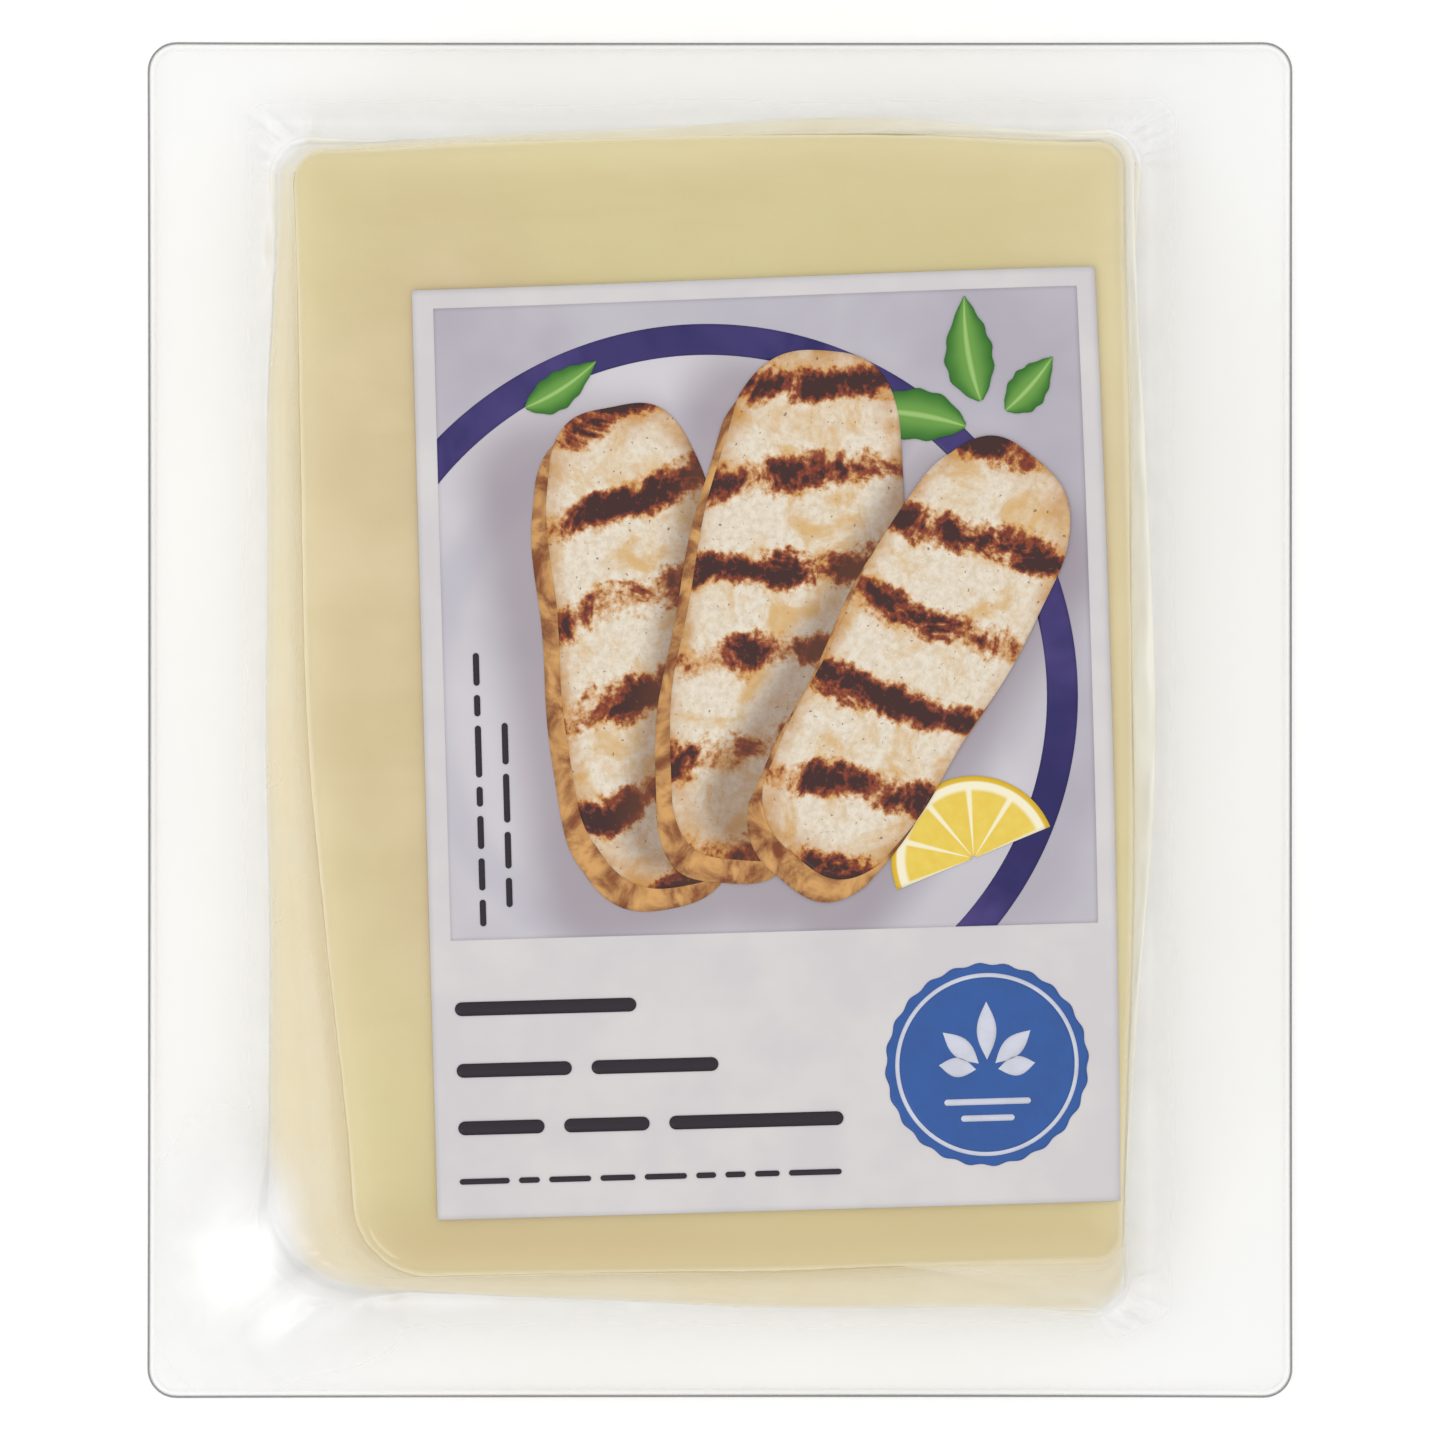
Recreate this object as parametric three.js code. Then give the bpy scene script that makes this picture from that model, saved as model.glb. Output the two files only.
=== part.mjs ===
// A folded slab of halloumi, sealed in a clear vacuum pack with a paper label on its face.
// Millimetres. The pack lies on its back: X runs across it, Y along it towards the label's top, and Z is up.
// The origin is in the middle of the pack's outline, on the surface that the pack lies on.

import * as THREE from 'three';

// The pack's welded margin
const PACK_WIDTH = 114;
const PACK_LENGTH = 135;
const PACK_CORNER_RADIUS = 2.9;
const WELD_THICKNESS = 0.3;
const MARGIN_FOOT = 0.1;
const MARGIN_WAVE = 0.9;
const MARGIN_CURL = 1.2;
const PLEAT_HEIGHT = 0.5;
const PLEATS_PER_CORNER = 2;
const WALL_CLIMB = 2.3;

// The cheese: one slab folded in two. Its fold is the bulging right side, and the edges of both layers show
// at the left and at the bottom, where the lower layer reaches further than the upper one.
const CHEESE_HEIGHT = 27;
const LOWER_LAYER_HEIGHT = 13;
const CROWN = 0.7;
const TOP_EDGE_RADIUS = 1.6;
const BASE_INSET = 3;
const SEAM_DEPTH = 0.6;
const LEDGE_ROUNDING = 1.2;
const WALL_UNEVENNESS = 0.22;
const TOP_UNEVENNESS = 0.12;

// Outlines of the two layers, anticlockwise from the top left corner, with each side's bows at its quarters
const LOWER_LAYER = {
	corners: [[-43.5, 56.7], [-44.4, -55.9], [39.5, -58.1], [40.7, 57.5]],
	radii: [3, 9.5, 2.8, 2.6],
	bows: [[0.9, 0.9, 0.35], [0.45, 0.8, 0.45], [1.3, 2.7, 1.25], [2.1, 1.65, 0.95]],
};
const UPPER_LAYER = {
	corners: [[-41.8, 55.5], [-35.3, -54.3], [39.1, -52.6], [39.2, 56.3]],
	radii: [3, 7.5, 2.6, 2.6],
	bows: [[0.7, 1.6, 1.1], [0.1, 0.2, 0.1], [0.8, 1, 0.5], [0.9, 1, 0.6]],
};
const FOLD_START_X = 10;
const FOLD_END_X = 38;

// The paper label
const LABEL_WIDTH = 66.5;
const LABEL_LENGTH = 90.5;
const LABEL_THICKNESS = 0.3;
const LABEL_CENTRE = [4.5, -2.5];
const LABEL_TURN = THREE.MathUtils.degToRad(1.6);
const LABEL_DRAPE = 0.35;
const LABEL_CELL = 4;

// The clear gap between neighbours, where the film over the cheese and the label's glue lie
const GAP = 0.35;

// How finely each outline is divided
const SIDE_STEPS = 16;
const CORNER_STEPS = 10;

// Colours and finishes
const CHEESE = new THREE.MeshStandardMaterial({ color: 0xdac99b, roughness: 0.55, metalness: 0 });
const FILM = new THREE.MeshStandardMaterial({
	color: 0xf3f2ef, roughness: 0.12, metalness: 0, transparent: true, opacity: 0.4,
});
const PAPER = new THREE.MeshStandardMaterial({ color: 0xd8d3d6, roughness: 0.6, metalness: 0 });

const { lerp, smoothstep } = THREE.MathUtils;

// How far a side stands out from its straight line at fraction t of it: a smooth curve through the side's
// three bows that starts and ends at nought, level with the side.
function bowAt(bows, t) {
	const [first, middle, last] = bows;
	const heights = [first, 0, first, middle, last, 0, last];
	const curve = new THREE.SplineCurve(heights.map((height, i) => new THREE.Vector2(i, height)));
	return curve.getPoint((1 + 4 * t) / (heights.length - 1)).y;
}

// The arc that rounds one corner: its centre, its radius and the angles where it starts and ends.
function cornerArc(before, corner, after, radius) {
	const back = before.clone().sub(corner).normalize();
	const on = after.clone().sub(corner).normalize();
	const halfAngle = Math.acos(back.dot(on)) / 2;
	const middle = back.clone().add(on).normalize();
	const centre = corner.clone().addScaledVector(middle, radius / Math.sin(halfAngle));
	const tangent = radius / Math.tan(halfAngle);
	const start = corner.clone().addScaledVector(back, tangent).sub(centre).angle();
	const end = corner.clone().addScaledVector(on, tangent).sub(centre).angle();
	return { centre, radius, start, sweep: THREE.MathUtils.euclideanModulo(end - start, 2 * Math.PI) };
}

function arcPoint({ centre, radius, start, sweep }, t) {
	const angle = start + sweep * t;
	return new THREE.Vector2(Math.cos(angle), Math.sin(angle)).multiplyScalar(radius).add(centre);
}

// A closed outline of four rounded corners and four bowed sides. All outlines have the same count of points,
// corner for corner, so any two can be joined point by point.
function bowedOutline({ corners, radii, bows }) {
	const tips = corners.map(([x, y]) => new THREE.Vector2(x, y));
	const arcs = tips.map((tip, i) => cornerArc(tips.at(i - 1), tip, tips[(i + 1) % tips.length], radii[i]));
	const points = [];
	arcs.forEach((arc, i) => {
		for (let step = 0; step <= CORNER_STEPS; step++) points.push(arcPoint(arc, step / CORNER_STEPS));
		const from = arcPoint(arc, 1);
		const to = arcPoint(arcs[(i + 1) % arcs.length], 0);
		const along = to.clone().sub(from).normalize();
		const outward = new THREE.Vector2(along.y, -along.x);
		for (let step = 1; step < SIDE_STEPS; step++) {
			const t = step / SIDE_STEPS;
			points.push(from.clone().lerp(to, t).addScaledVector(outward, bowAt(bows[i], t)));
		}
	});
	return points;
}

// The outline moved in by a distance, or out where the distance is below nought.
function insetOutline(points, distance) {
	return points.map((point, i) => {
		const along = points[(i + 1) % points.length].clone().sub(points.at(i - 1)).normalize();
		return point.clone().addScaledVector(new THREE.Vector2(-along.y, along.x), distance);
	});
}

function blendOutlines(from, to, amounts) {
	return from.map((point, i) => point.clone().lerp(to[i], amounts[i]));
}

// Slow swells and dips of the pressed curd, from -1 to 1
function swell(x, y, z) {
	return Math.sin(x / 9 + 0.7) * Math.cos(y / 12.5 - 0.4) * Math.cos(z / 8) + 0.5 * Math.sin((x + y) / 6.1);
}

// Height of the cheese's top face: a low crown with slow dents
function topHeight(x, y) {
	const across = x / (PACK_WIDTH / 2);
	const along = y / (PACK_LENGTH / 2);
	return CHEESE_HEIGHT - CROWN * (across * across + along * along) - TOP_UNEVENNESS * (1.5 + swell(x, y, 0));
}

// How far the rounded top edge has dropped at a depth inside the wall's outline
function edgeDrop(depth) {
	const short = Math.max(TOP_EDGE_RADIUS - depth, 0);
	return TOP_EDGE_RADIUS - Math.sqrt(TOP_EDGE_RADIUS ** 2 - Math.min(short, TOP_EDGE_RADIUS) ** 2);
}

// The shortest way from a point to an outline
function distanceToOutline(x, y, outline) {
	const point = new THREE.Vector3(x, y, 0);
	const nearest = new THREE.Vector3();
	const lengths = outline.map((start, i) => {
		const end = outline[(i + 1) % outline.length];
		const edge = new THREE.Line3(new THREE.Vector3(start.x, start.y, 0), new THREE.Vector3(end.x, end.y, 0));
		return edge.closestPointToPoint(point, true, nearest).distanceTo(point);
	});
	return Math.min(...lengths);
}

// A closed solid from rings of points that run anticlockwise seen from above. The rings climb the outside.
// A tube of rings closes on its first ring, and any other stack is closed by a fan at each end.
function solidFromRings(rings, isTube) {
	const count = rings[0].length;
	const positions = rings.flat().flatMap((point) => [point.x, point.y, point.z]);
	const triangles = [];
	const joins = isTube ? rings.length : rings.length - 1;
	for (let r = 0; r < joins; r++) {
		const here = r * count;
		const above = ((r + 1) % rings.length) * count;
		for (let k = 0; k < count; k++) {
			const next = (k + 1) % count;
			triangles.push(here + k, here + next, above + next, here + k, above + next, above + k);
		}
	}
	if (!isTube) {
		for (const [ring, facesUp] of [[0, false], [rings.length - 1, true]]) {
			const middle = rings[ring].reduce((sum, p) => sum.add(p), new THREE.Vector3()).divideScalar(count);
			const hub = positions.length / 3;
			positions.push(middle.x, middle.y, middle.z);
			for (let k = 0; k < count; k++) {
				const a = ring * count + k;
				const b = ring * count + (k + 1) % count;
				triangles.push(hub, ...(facesUp ? [a, b] : [b, a]));
			}
		}
	}
	const geometry = new THREE.BufferGeometry();
	geometry.setAttribute('position', new THREE.Float32BufferAttribute(positions, 3));
	geometry.setIndex(triangles);
	geometry.computeVertexNormals();
	return geometry;
}

const lowerOutline = bowedOutline(LOWER_LAYER);
const upperOutline = bowedOutline(UPPER_LAYER);

// 1 on the fold side, where the slab runs on from layer to layer, and 0 where both layers' edges show
const foldShare = lowerOutline.map((point) => smoothstep(point.x, FOLD_START_X, FOLD_END_X));

function ringAt(outline, heightOf) {
	return outline.map((point, i) => new THREE.Vector3(point.x, point.y, heightOf(point, i)));
}

// A wall ring, uneven as the curd is
function wallRing(outline, z) {
	return ringAt(outline, () => z).map((point) => {
		const push = 1 - WALL_UNEVENNESS * swell(point.x, point.y, z) / point.length();
		return new THREE.Vector3(point.x * push, point.y * push, z);
	});
}

// The lower layer's rings: flat base, rounded foot, wall and rounded shoulder. The fold side has no shoulder.
function lowerLayerRings() {
	const base = ringAt(insetOutline(lowerOutline, BASE_INSET), () => 0);
	const foot = [[1.45, 0.35], [0.55, 1.2], [0.12, 2.8], [0, 6.5]];
	return [
		base,
		...foot.map(([inset, z]) => wallRing(insetOutline(lowerOutline, inset), z)),
		...[[0.12, 9.6], [0.5, 11.6]].map(([inset, z]) => wallRing(shoulder(inset), z)),
	];
}

function shoulder(inset) {
	return blendOutlines(insetOutline(lowerOutline, inset), lowerOutline, foldShare);
}

// The ledge of the lower layer, and the seam where the upper layer lies on it. On the fold side there is
// neither: the wall runs on up.
function seamRings() {
	const rim = shoulder(LEDGE_ROUNDING);
	const towardsUpper = (share) => blendOutlines(rim, upperOutline, foldShare.map((fold) => lerp(share, 0.08, fold)));
	const seam = towardsUpper(1).map((point, i) => {
		return point.clone().setLength(point.length() - SEAM_DEPTH * (1 - foldShare[i]));
	});
	return [
		ringAt(rim, () => LOWER_LAYER_HEIGHT - 0.3),
		ringAt(towardsUpper(0.45), () => LOWER_LAYER_HEIGHT),
		ringAt(towardsUpper(0.8), () => LOWER_LAYER_HEIGHT + 0.15),
		ringAt(seam, () => LOWER_LAYER_HEIGHT + 0.5),
	];
}

// The upper layer's wall, from its rounded lower edge up to where the top edge starts to round. On the fold
// side each ring is only part of the way from the lower outline to the upper one.
function upperWallRings() {
	const lowerEdge = insetOutline(upperOutline, 0.3);
	const rings = [
		[lowerEdge, 0.12, 14.1], [upperOutline, 0.2, 15.4], [upperOutline, 0.38, 18],
		[upperOutline, 0.68, 21.2], [upperOutline, 0.95, 23.8],
	];
	return rings.map(([outline, share, z]) => {
		return wallRing(blendOutlines(lowerOutline, outline, foldShare.map((fold) => lerp(1, share, fold))), z);
	});
}

// The top: a quarter round edge, then rings that close in on the middle of the crowned face
function topRings() {
	const edgeInsets = [0.06, 0.45, 1.05, 1.6];
	const edge = edgeInsets.map((inset) => {
		const outline = insetOutline(upperOutline, inset);
		return ringAt(outline, (point) => topHeight(point.x, point.y) - edgeDrop(inset));
	});
	const flat = insetOutline(upperOutline, TOP_EDGE_RADIUS);
	const face = [0.9, 0.72, 0.5, 0.25].map((share) => {
		const outline = flat.map((point) => point.clone().multiplyScalar(share));
		return ringAt(outline, (point) => topHeight(point.x, point.y));
	});
	return [...edge, ...face];
}

function halloumiBlock() {
	const rings = [...lowerLayerRings(), ...seamRings(), ...upperWallRings(), ...topRings()];
	const block = new THREE.Mesh(solidFromRings(rings, false), CHEESE);
	block.name = 'halloumi_block';
	return block;
}

// The welded margin: a wavy ring of film between the pack's rounded outline and the foot of the cheese,
// pleated where it gathers round the four corners and climbing a little where it meets the wall.
function filmMargin() {
	const [halfWidth, halfLength] = [PACK_WIDTH / 2, PACK_LENGTH / 2];
	const rim = bowedOutline({
		corners: [[-halfWidth, halfLength], [-halfWidth, -halfLength], [halfWidth, -halfLength], [halfWidth, halfLength]],
		radii: Array(4).fill(PACK_CORNER_RADIUS),
		bows: Array(4).fill([0, 0, 0]),
	});
	const inner = insetOutline(lowerOutline, -GAP);
	const pointsPerSide = CORNER_STEPS + SIDE_STEPS;
	const pleat = (i) => {
		const step = i % pointsPerSide;
		return step > CORNER_STEPS ? 0 : Math.sin((step / CORNER_STEPS) * PLEATS_PER_CORNER * Math.PI) ** 2;
	};
	const underside = (point, i, share) => {
		const wave = MARGIN_WAVE * (0.5 + 0.5 * Math.sin(point.x / 23 + 0.6) * Math.cos(point.y / 31 - 0.4));
		const curl = MARGIN_CURL * (point.x * point.y / (halfWidth * halfLength)) ** 4;
		const climb = WALL_CLIMB * (1 - share) ** 3;
		const gather = PLEAT_HEIGHT * pleat(i) * 4 * share * (1 - share);
		return MARGIN_FOOT + wave * share + curl + climb + gather;
	};
	const shares = [0, 0.12, 0.3, 0.52, 0.76, 1];
	const ring = (share, lift) => {
		const outline = blendOutlines(inner, rim, inner.map(() => share));
		return ringAt(outline, (point, i) => underside(point, i, share) + lift);
	};
	const below = shares.map((share) => ring(share, 0));
	const above = shares.toReversed().map((share) => ring(share, WELD_THICKNESS));
	const margin = new THREE.Mesh(solidFromRings([...below, ...above], true), FILM);
	margin.name = 'film_margin';
	return margin;
}

// The label: a sheet of paper that follows the crowned face and bends a little over its right edge
function frontLabel() {
	const columns = Math.round(LABEL_WIDTH / LABEL_CELL);
	const rows = Math.round(LABEL_LENGTH / LABEL_CELL);
	const sheet = new THREE.BoxGeometry(LABEL_WIDTH, LABEL_LENGTH, LABEL_THICKNESS, columns, rows, 1);
	sheet.rotateZ(LABEL_TURN);
	sheet.translate(LABEL_CENTRE[0], LABEL_CENTRE[1], 0);
	const place = sheet.getAttribute('position');
	for (let i = 0; i < place.count; i++) {
		const [x, y] = [place.getX(i), place.getY(i)];
		const drop = LABEL_DRAPE * edgeDrop(distanceToOutline(x, y, upperOutline));
		const lift = place.getZ(i) > 0 ? LABEL_THICKNESS : 0;
		place.setZ(i, topHeight(x, y) - drop + GAP + lift);
	}
	sheet.computeVertexNormals();
	const label = new THREE.Mesh(sheet, PAPER);
	label.name = 'front_label';
	return label;
}

const part = new THREE.Group();
part.name = 'packed_halloumi';
part.add(halloumiBlock(), filmMargin(), frontLabel());

export default part;
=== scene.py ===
"""A folded slab of halloumi in a clear vacuum pack with a paper label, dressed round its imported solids.

Every shape is worked out in millimetres as whole arrays and becomes metres when its mesh is made. X runs
across the pack, Y towards the label's top, Z up from the surface that the pack lies on.
"""
import math

import bpy
import numpy as np
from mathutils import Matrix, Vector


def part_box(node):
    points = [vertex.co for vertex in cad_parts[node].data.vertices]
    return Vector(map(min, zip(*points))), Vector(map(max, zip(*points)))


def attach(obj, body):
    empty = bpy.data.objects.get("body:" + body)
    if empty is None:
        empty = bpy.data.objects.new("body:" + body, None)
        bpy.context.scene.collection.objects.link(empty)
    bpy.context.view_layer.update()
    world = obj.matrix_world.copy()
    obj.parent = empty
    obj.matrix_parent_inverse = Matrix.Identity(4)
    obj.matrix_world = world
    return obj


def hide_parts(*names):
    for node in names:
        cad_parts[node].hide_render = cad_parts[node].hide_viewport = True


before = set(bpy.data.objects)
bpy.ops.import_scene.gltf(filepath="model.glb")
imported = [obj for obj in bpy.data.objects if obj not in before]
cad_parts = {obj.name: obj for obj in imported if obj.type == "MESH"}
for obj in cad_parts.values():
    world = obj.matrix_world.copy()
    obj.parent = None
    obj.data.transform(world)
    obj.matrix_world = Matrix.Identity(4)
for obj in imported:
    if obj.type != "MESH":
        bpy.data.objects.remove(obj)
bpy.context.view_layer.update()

MM = 0.001

# Half the pack's width and length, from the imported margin
PACK_HALF = np.array(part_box("film_margin")[1][:2]) / MM

# The cheese, with the solid's own dimensions
CHEESE_HEIGHT = 27.0
LOWER_HEIGHT = 13.0
CROWN = 0.7
TOP_EDGE_RADIUS = 1.6
LEDGE_ROUNDING = 1.2
SEAM_DEPTH = 0.6
WALL_UNEVENNESS = 0.22
TOP_UNEVENNESS = 0.12
FOLD_START_X, FOLD_END_X = 10.0, 38.0

# Outlines of the two layers, anticlockwise from the top left corner, with each side's bows at its quarters
LOWER_LAYER = dict(
    corners=[(-43.5, 56.7), (-44.4, -55.9), (39.5, -58.1), (40.7, 57.5)],
    radii=[3.0, 9.5, 2.8, 2.6],
    bows=[(0.9, 0.9, 0.35), (0.45, 0.8, 0.45), (1.3, 2.7, 1.25), (2.1, 1.65, 0.95)],
)
UPPER_LAYER = dict(
    corners=[(-41.8, 55.5), (-35.3, -54.3), (39.1, -52.6), (39.2, 56.3)],
    radii=[3.0, 7.5, 2.6, 2.6],
    bows=[(0.7, 1.6, 1.1), (0.1, 0.2, 0.1), (0.8, 1.0, 0.5), (0.9, 1.0, 0.6)],
)

# The slab's key rings from the base up, each with how far it is inside its outline and how high it is. The
# base and the round top edge have insets only.
BASE_INSETS = (4, 3)
FOOT_KEYS = ((1.45, 0.42), (0.55, 1.2), (0.12, 2.8), (0.0, 6.5))
SHOULDER_KEYS = ((0.12, 9.6), (0.5, 11.6))
TOP_EDGE_INSETS = (0.06, 0.45, 1.05, TOP_EDGE_RADIUS)

# The ledge's rings: the share of the way from its rim to the upper layer, and the height over the lower layer
LEDGE_KEYS = ((0.45, 0.0), (0.8, 0.15))
LEDGE_DROP, SEAM_RISE = 0.3, 0.5
FOLD_SEAM_SHARE = 0.08

# The upper wall's rings: inset, the fold side's share of the way to the upper layer's outline, and height
UPPER_WALL_KEYS = ((0.3, 0.12, 14.1), (0, 0.2, 15.4), (0, 0.38, 18), (0, 0.68, 21.2), (0, 0.95, 23.8))

# The curd's skin: how deep its knit lines, its grain and its pits are
KNIT_DEPTH = 0.05
GRAIN_DEPTH = 0.025
PIT_COUNT = 260
PIT_WIDTHS, PIT_DEPTHS = (0.35, 1.1), (0.05, 0.22)

# Where the curd's paint is paler, which is painted light: along the top edge, by strength and by how far in
# it fades, and low on the slab
PAINTED_LIGHT_AT_EDGE = ((0.24, 2), (0.17, 6.5))
PAINTED_LIGHT_TOP_STARTS = (23, 25)
PAINTED_LIGHT_LOW, PAINTED_LIGHT_LOW_ENDS = 0.6, (14, 20)

# The clear film: how it lies on the cheese, its weld, and the lie of the margin
FILM_OVER_CHEESE = 0.22
FILM_UNDER_CHEESE = 0.04
CHEESE_BASE = 0.15
WELD = 0.3
PACK_CORNER_RADIUS = 2.9
CORNER_FAN = 17.0
MARGIN_FOOT = 0.1
MARGIN_WAVE = 0.9
MARGIN_CURL = 1.2
FILM_BASE_INSET = 2.2
WALL_CLIMB = 2.3
RIPPLE_HEIGHT = 0.16
UNDERSIDE_PLEATS = 0.35

# How wide the film bridges from the slab's foot to the margin, corner by corner from the top left one
BRIDGE_WIDTHS = (0.35, 1.0, 0.35, 0.35)
BRIDGE_SPREAD = 9.0

# The film's gap off the slab and how much the bridge adds: at the foot, and up the wall, each with its height
FOOT_GAP = (0.35, 3.0)
WALL_GAPS = ((0.26, 1.4, 4.2), (0.24, 0.5, 6.5))

# What the film's pleats and creases are drawn from: how many there are and how far out on a corner's fan, how
# much each is moved, and the ranges of its measures
PLEATS = dict(count=8, out=1.25, moved=0.12, width=(0.05, 0.11), reach=(0.3, 0.75), height=(0.35, 1.0))
WALL_CREASES = dict(count=9, out=1.6, moved=0.1, width=(0.08, 0.16), height=(0.05, 0.17), top=(9, 22))

# The creases on top: how many, the ellipse that they lie near, how near, and the ranges of their measures
TOP_CREASES = dict(count=34, half=(37, 51), out=(0.86, 1.04),
                   length=(3, 9), width=(0.3, 0.6), height=(0.02, 0.06))

# The film over the ledge: where its curve ends, and the fold side's shares at even steps up
TENT_TOP, TENT_FOOT = UPPER_WALL_KEYS[-1][-1], LOWER_HEIGHT - 0.05
TENT_FOLD_SHARES = (0.02, 0.12, 0.24, 0.42, 0.72, 0.95)

# The paper label
LABEL_HALF = np.array([33.25, 45.25])
LABEL_CENTRE = np.array([4.5, -2.5])
LABEL_TURN = math.radians(1.6)
LABEL_UNDERSIDE = 0.34
LABEL_DRAPE = 0.35
LABEL_BOW = 0.45
LABEL_PULL = 0.5
LABEL_PAPER = 0.24
LABEL_GRID = (120, 90)
INK_LIFT = 0.015
INK_THICKNESS = 0.02

# How finely each outline is divided, and how far apart the rings of the walls are
CORNER_STEPS = 34
SIDE_STEPS = 74
AROUND = 4 * (CORNER_STEPS + SIDE_STEPS)
CHEESE_SPACING, FILM_SPACING = 0.42, 0.6

SEED = 27


# Meshes from arrays

def make_piece(name, points, quads, triangles=(), marks=None, uv=None):
    """One mesh object at the origin from corner places in millimetres, four-sided faces and triangles."""
    mesh = bpy.data.meshes.new(name)
    quads = np.asarray(quads, np.int32).reshape(-1, 4)
    triangles = np.asarray(triangles, np.int32).reshape(-1, 3)
    corners = np.concatenate([quads.ravel(), triangles.ravel()])
    totals = np.repeat([4, 3], [len(quads), len(triangles)]).astype(np.int32)
    mesh.vertices.add(len(points))
    mesh.vertices.foreach_set("co", (np.asarray(points, np.float32) * MM).ravel())
    mesh.loops.add(len(corners))
    mesh.loops.foreach_set("vertex_index", corners)
    mesh.polygons.add(len(totals))
    mesh.polygons.foreach_set("loop_start", np.concatenate([[0], np.cumsum(totals)[:-1]]).astype(np.int32))
    mesh.polygons.foreach_set("loop_total", totals)
    mesh.polygons.foreach_set("use_smooth", np.ones(len(totals), bool))
    for key, values in (marks or {}).items():
        mark = mesh.attributes.new(key, "FLOAT", "POINT")
        mark.data.foreach_set("value", np.asarray(values, np.float32).ravel())
    if uv is not None:
        mesh.uv_layers.new(name="UVMap").data.foreach_set("uv", np.asarray(uv, np.float32)[corners].ravel())
    mesh.update()
    mesh.validate()
    piece = bpy.data.objects.new(name, mesh)
    bpy.context.scene.collection.objects.link(piece)
    return piece


def finish_piece(piece, material, slot, *replaced):
    """Gives a piece its material and its place in the frame."""
    piece.data.materials.clear()
    piece.data.materials.append(material)
    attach(piece, "root")
    if replaced:
        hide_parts(*replaced)
    return piece


def stack_faces(rows, columns):
    """Quads between rows of points that each close on themselves."""
    here = np.arange(columns)
    on = (here + 1) % columns
    base = np.arange(rows - 1)[:, None] * columns
    return np.stack([base + here, base + on, base + columns + on, base + columns + here], -1).reshape(-1, 4)


def capped_stack(rings):
    """A closed surface from rings that climb the outside: the stack's points, quads and two end fans."""
    rows, columns = rings.shape[:2]
    points = np.concatenate([rings.reshape(-1, 3), rings[[0, -1]].mean(axis=1)])
    here = np.arange(columns)
    on = (here + 1) % columns
    low, high = rows * columns, rows * columns + 1
    last = (rows - 1) * columns
    below = np.stack([np.full(columns, low), on, here], -1)
    above = np.stack([np.full(columns, high), last + here, last + on], -1)
    return points, stack_faces(rows, columns), np.concatenate([below, above])


def grid_faces(rows, columns, offset=0):
    """Quads of an open grid of points, rows by columns."""
    corner = (np.arange(rows - 1)[:, None] * columns + np.arange(columns - 1)).ravel() + offset
    return np.stack([corner, corner + 1, corner + columns + 1, corner + columns], -1)


def grid_normals(rings):
    """Unit normals of a stack of closed rings, from its steps round and up."""
    around = np.roll(rings, -1, axis=1) - np.roll(rings, 1, axis=1)
    up = np.gradient(rings, axis=0)
    normal = np.cross(around, up)
    return normal / np.maximum(np.linalg.norm(normal, axis=-1, keepdims=True), 1e-9)


# Curves and outlines

def smoothstep(low, high, value):
    """A value's share of the way from low to high, eased at both ends: three squares less two cubes."""
    t = np.clip((value - low) / (high - low), 0, 1)
    return t * t * (3 - 2 * t)


def hermite(keys, knots, places):
    """Cubic curves through keys at uneven knots.

    Each key's slope weighs the slopes of the gaps on its two sides by each other's length, so that a short
    gap beside a long one doesn't overshoot."""
    gaps = np.diff(knots)
    column = (-1,) + (1,) * (keys.ndim - 1)
    rise = np.diff(keys, axis=0) / gaps.reshape(column)
    weight = (gaps[:-1] / (gaps[:-1] + gaps[1:])).reshape(column)
    inner = rise[:-1] * (1 - weight) + rise[1:] * weight
    slopes = np.concatenate([rise[:1], inner, rise[-1:]])
    gap = np.clip(np.searchsorted(knots, places, side="right") - 1, 0, len(gaps) - 1)
    width = gaps[gap].reshape(column)
    t = (places - knots[gap]).reshape(column) / width
    start, end = keys[gap], keys[gap + 1]
    bend = (1 - t) * (slopes[gap] * width - (end - start)) - t * (slopes[gap + 1] * width - (end - start))
    return start + (end - start) * t + t * (1 - t) * bend


def bow_height(bow, t):
    """How far a side stands out at fractions t of it: a smooth curve through its bows, level at both ends."""
    heights = np.array([bow[0], 0, *bow, 0, bow[-1]])
    return hermite(heights, np.arange(-1.0, 6.0), 4 * t)


def refine(keys, spacing):
    """More rings between the key rings, about one spacing apart, on curves through each point's keys."""
    keys = np.asarray(keys, float)
    gaps = np.linalg.norm(np.diff(keys, axis=0), axis=-1).mean(axis=1)
    knots = np.concatenate([[0], np.cumsum(gaps)])
    counts = np.maximum(2, np.ceil(gaps / spacing)).astype(int)
    places = [start + gap * np.arange(count) / count for start, gap, count in zip(knots, gaps, counts)]
    return hermite(keys, knots, np.concatenate([*places, knots[-1:]]))


def side_places():
    """Fractions along a side, closer together near its corners: half even steps, half a cosine's steps."""
    t = np.arange(1, SIDE_STEPS) / SIDE_STEPS
    return 0.5 * t + 0.5 * (1 - np.cos(math.pi * t)) / 2


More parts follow.
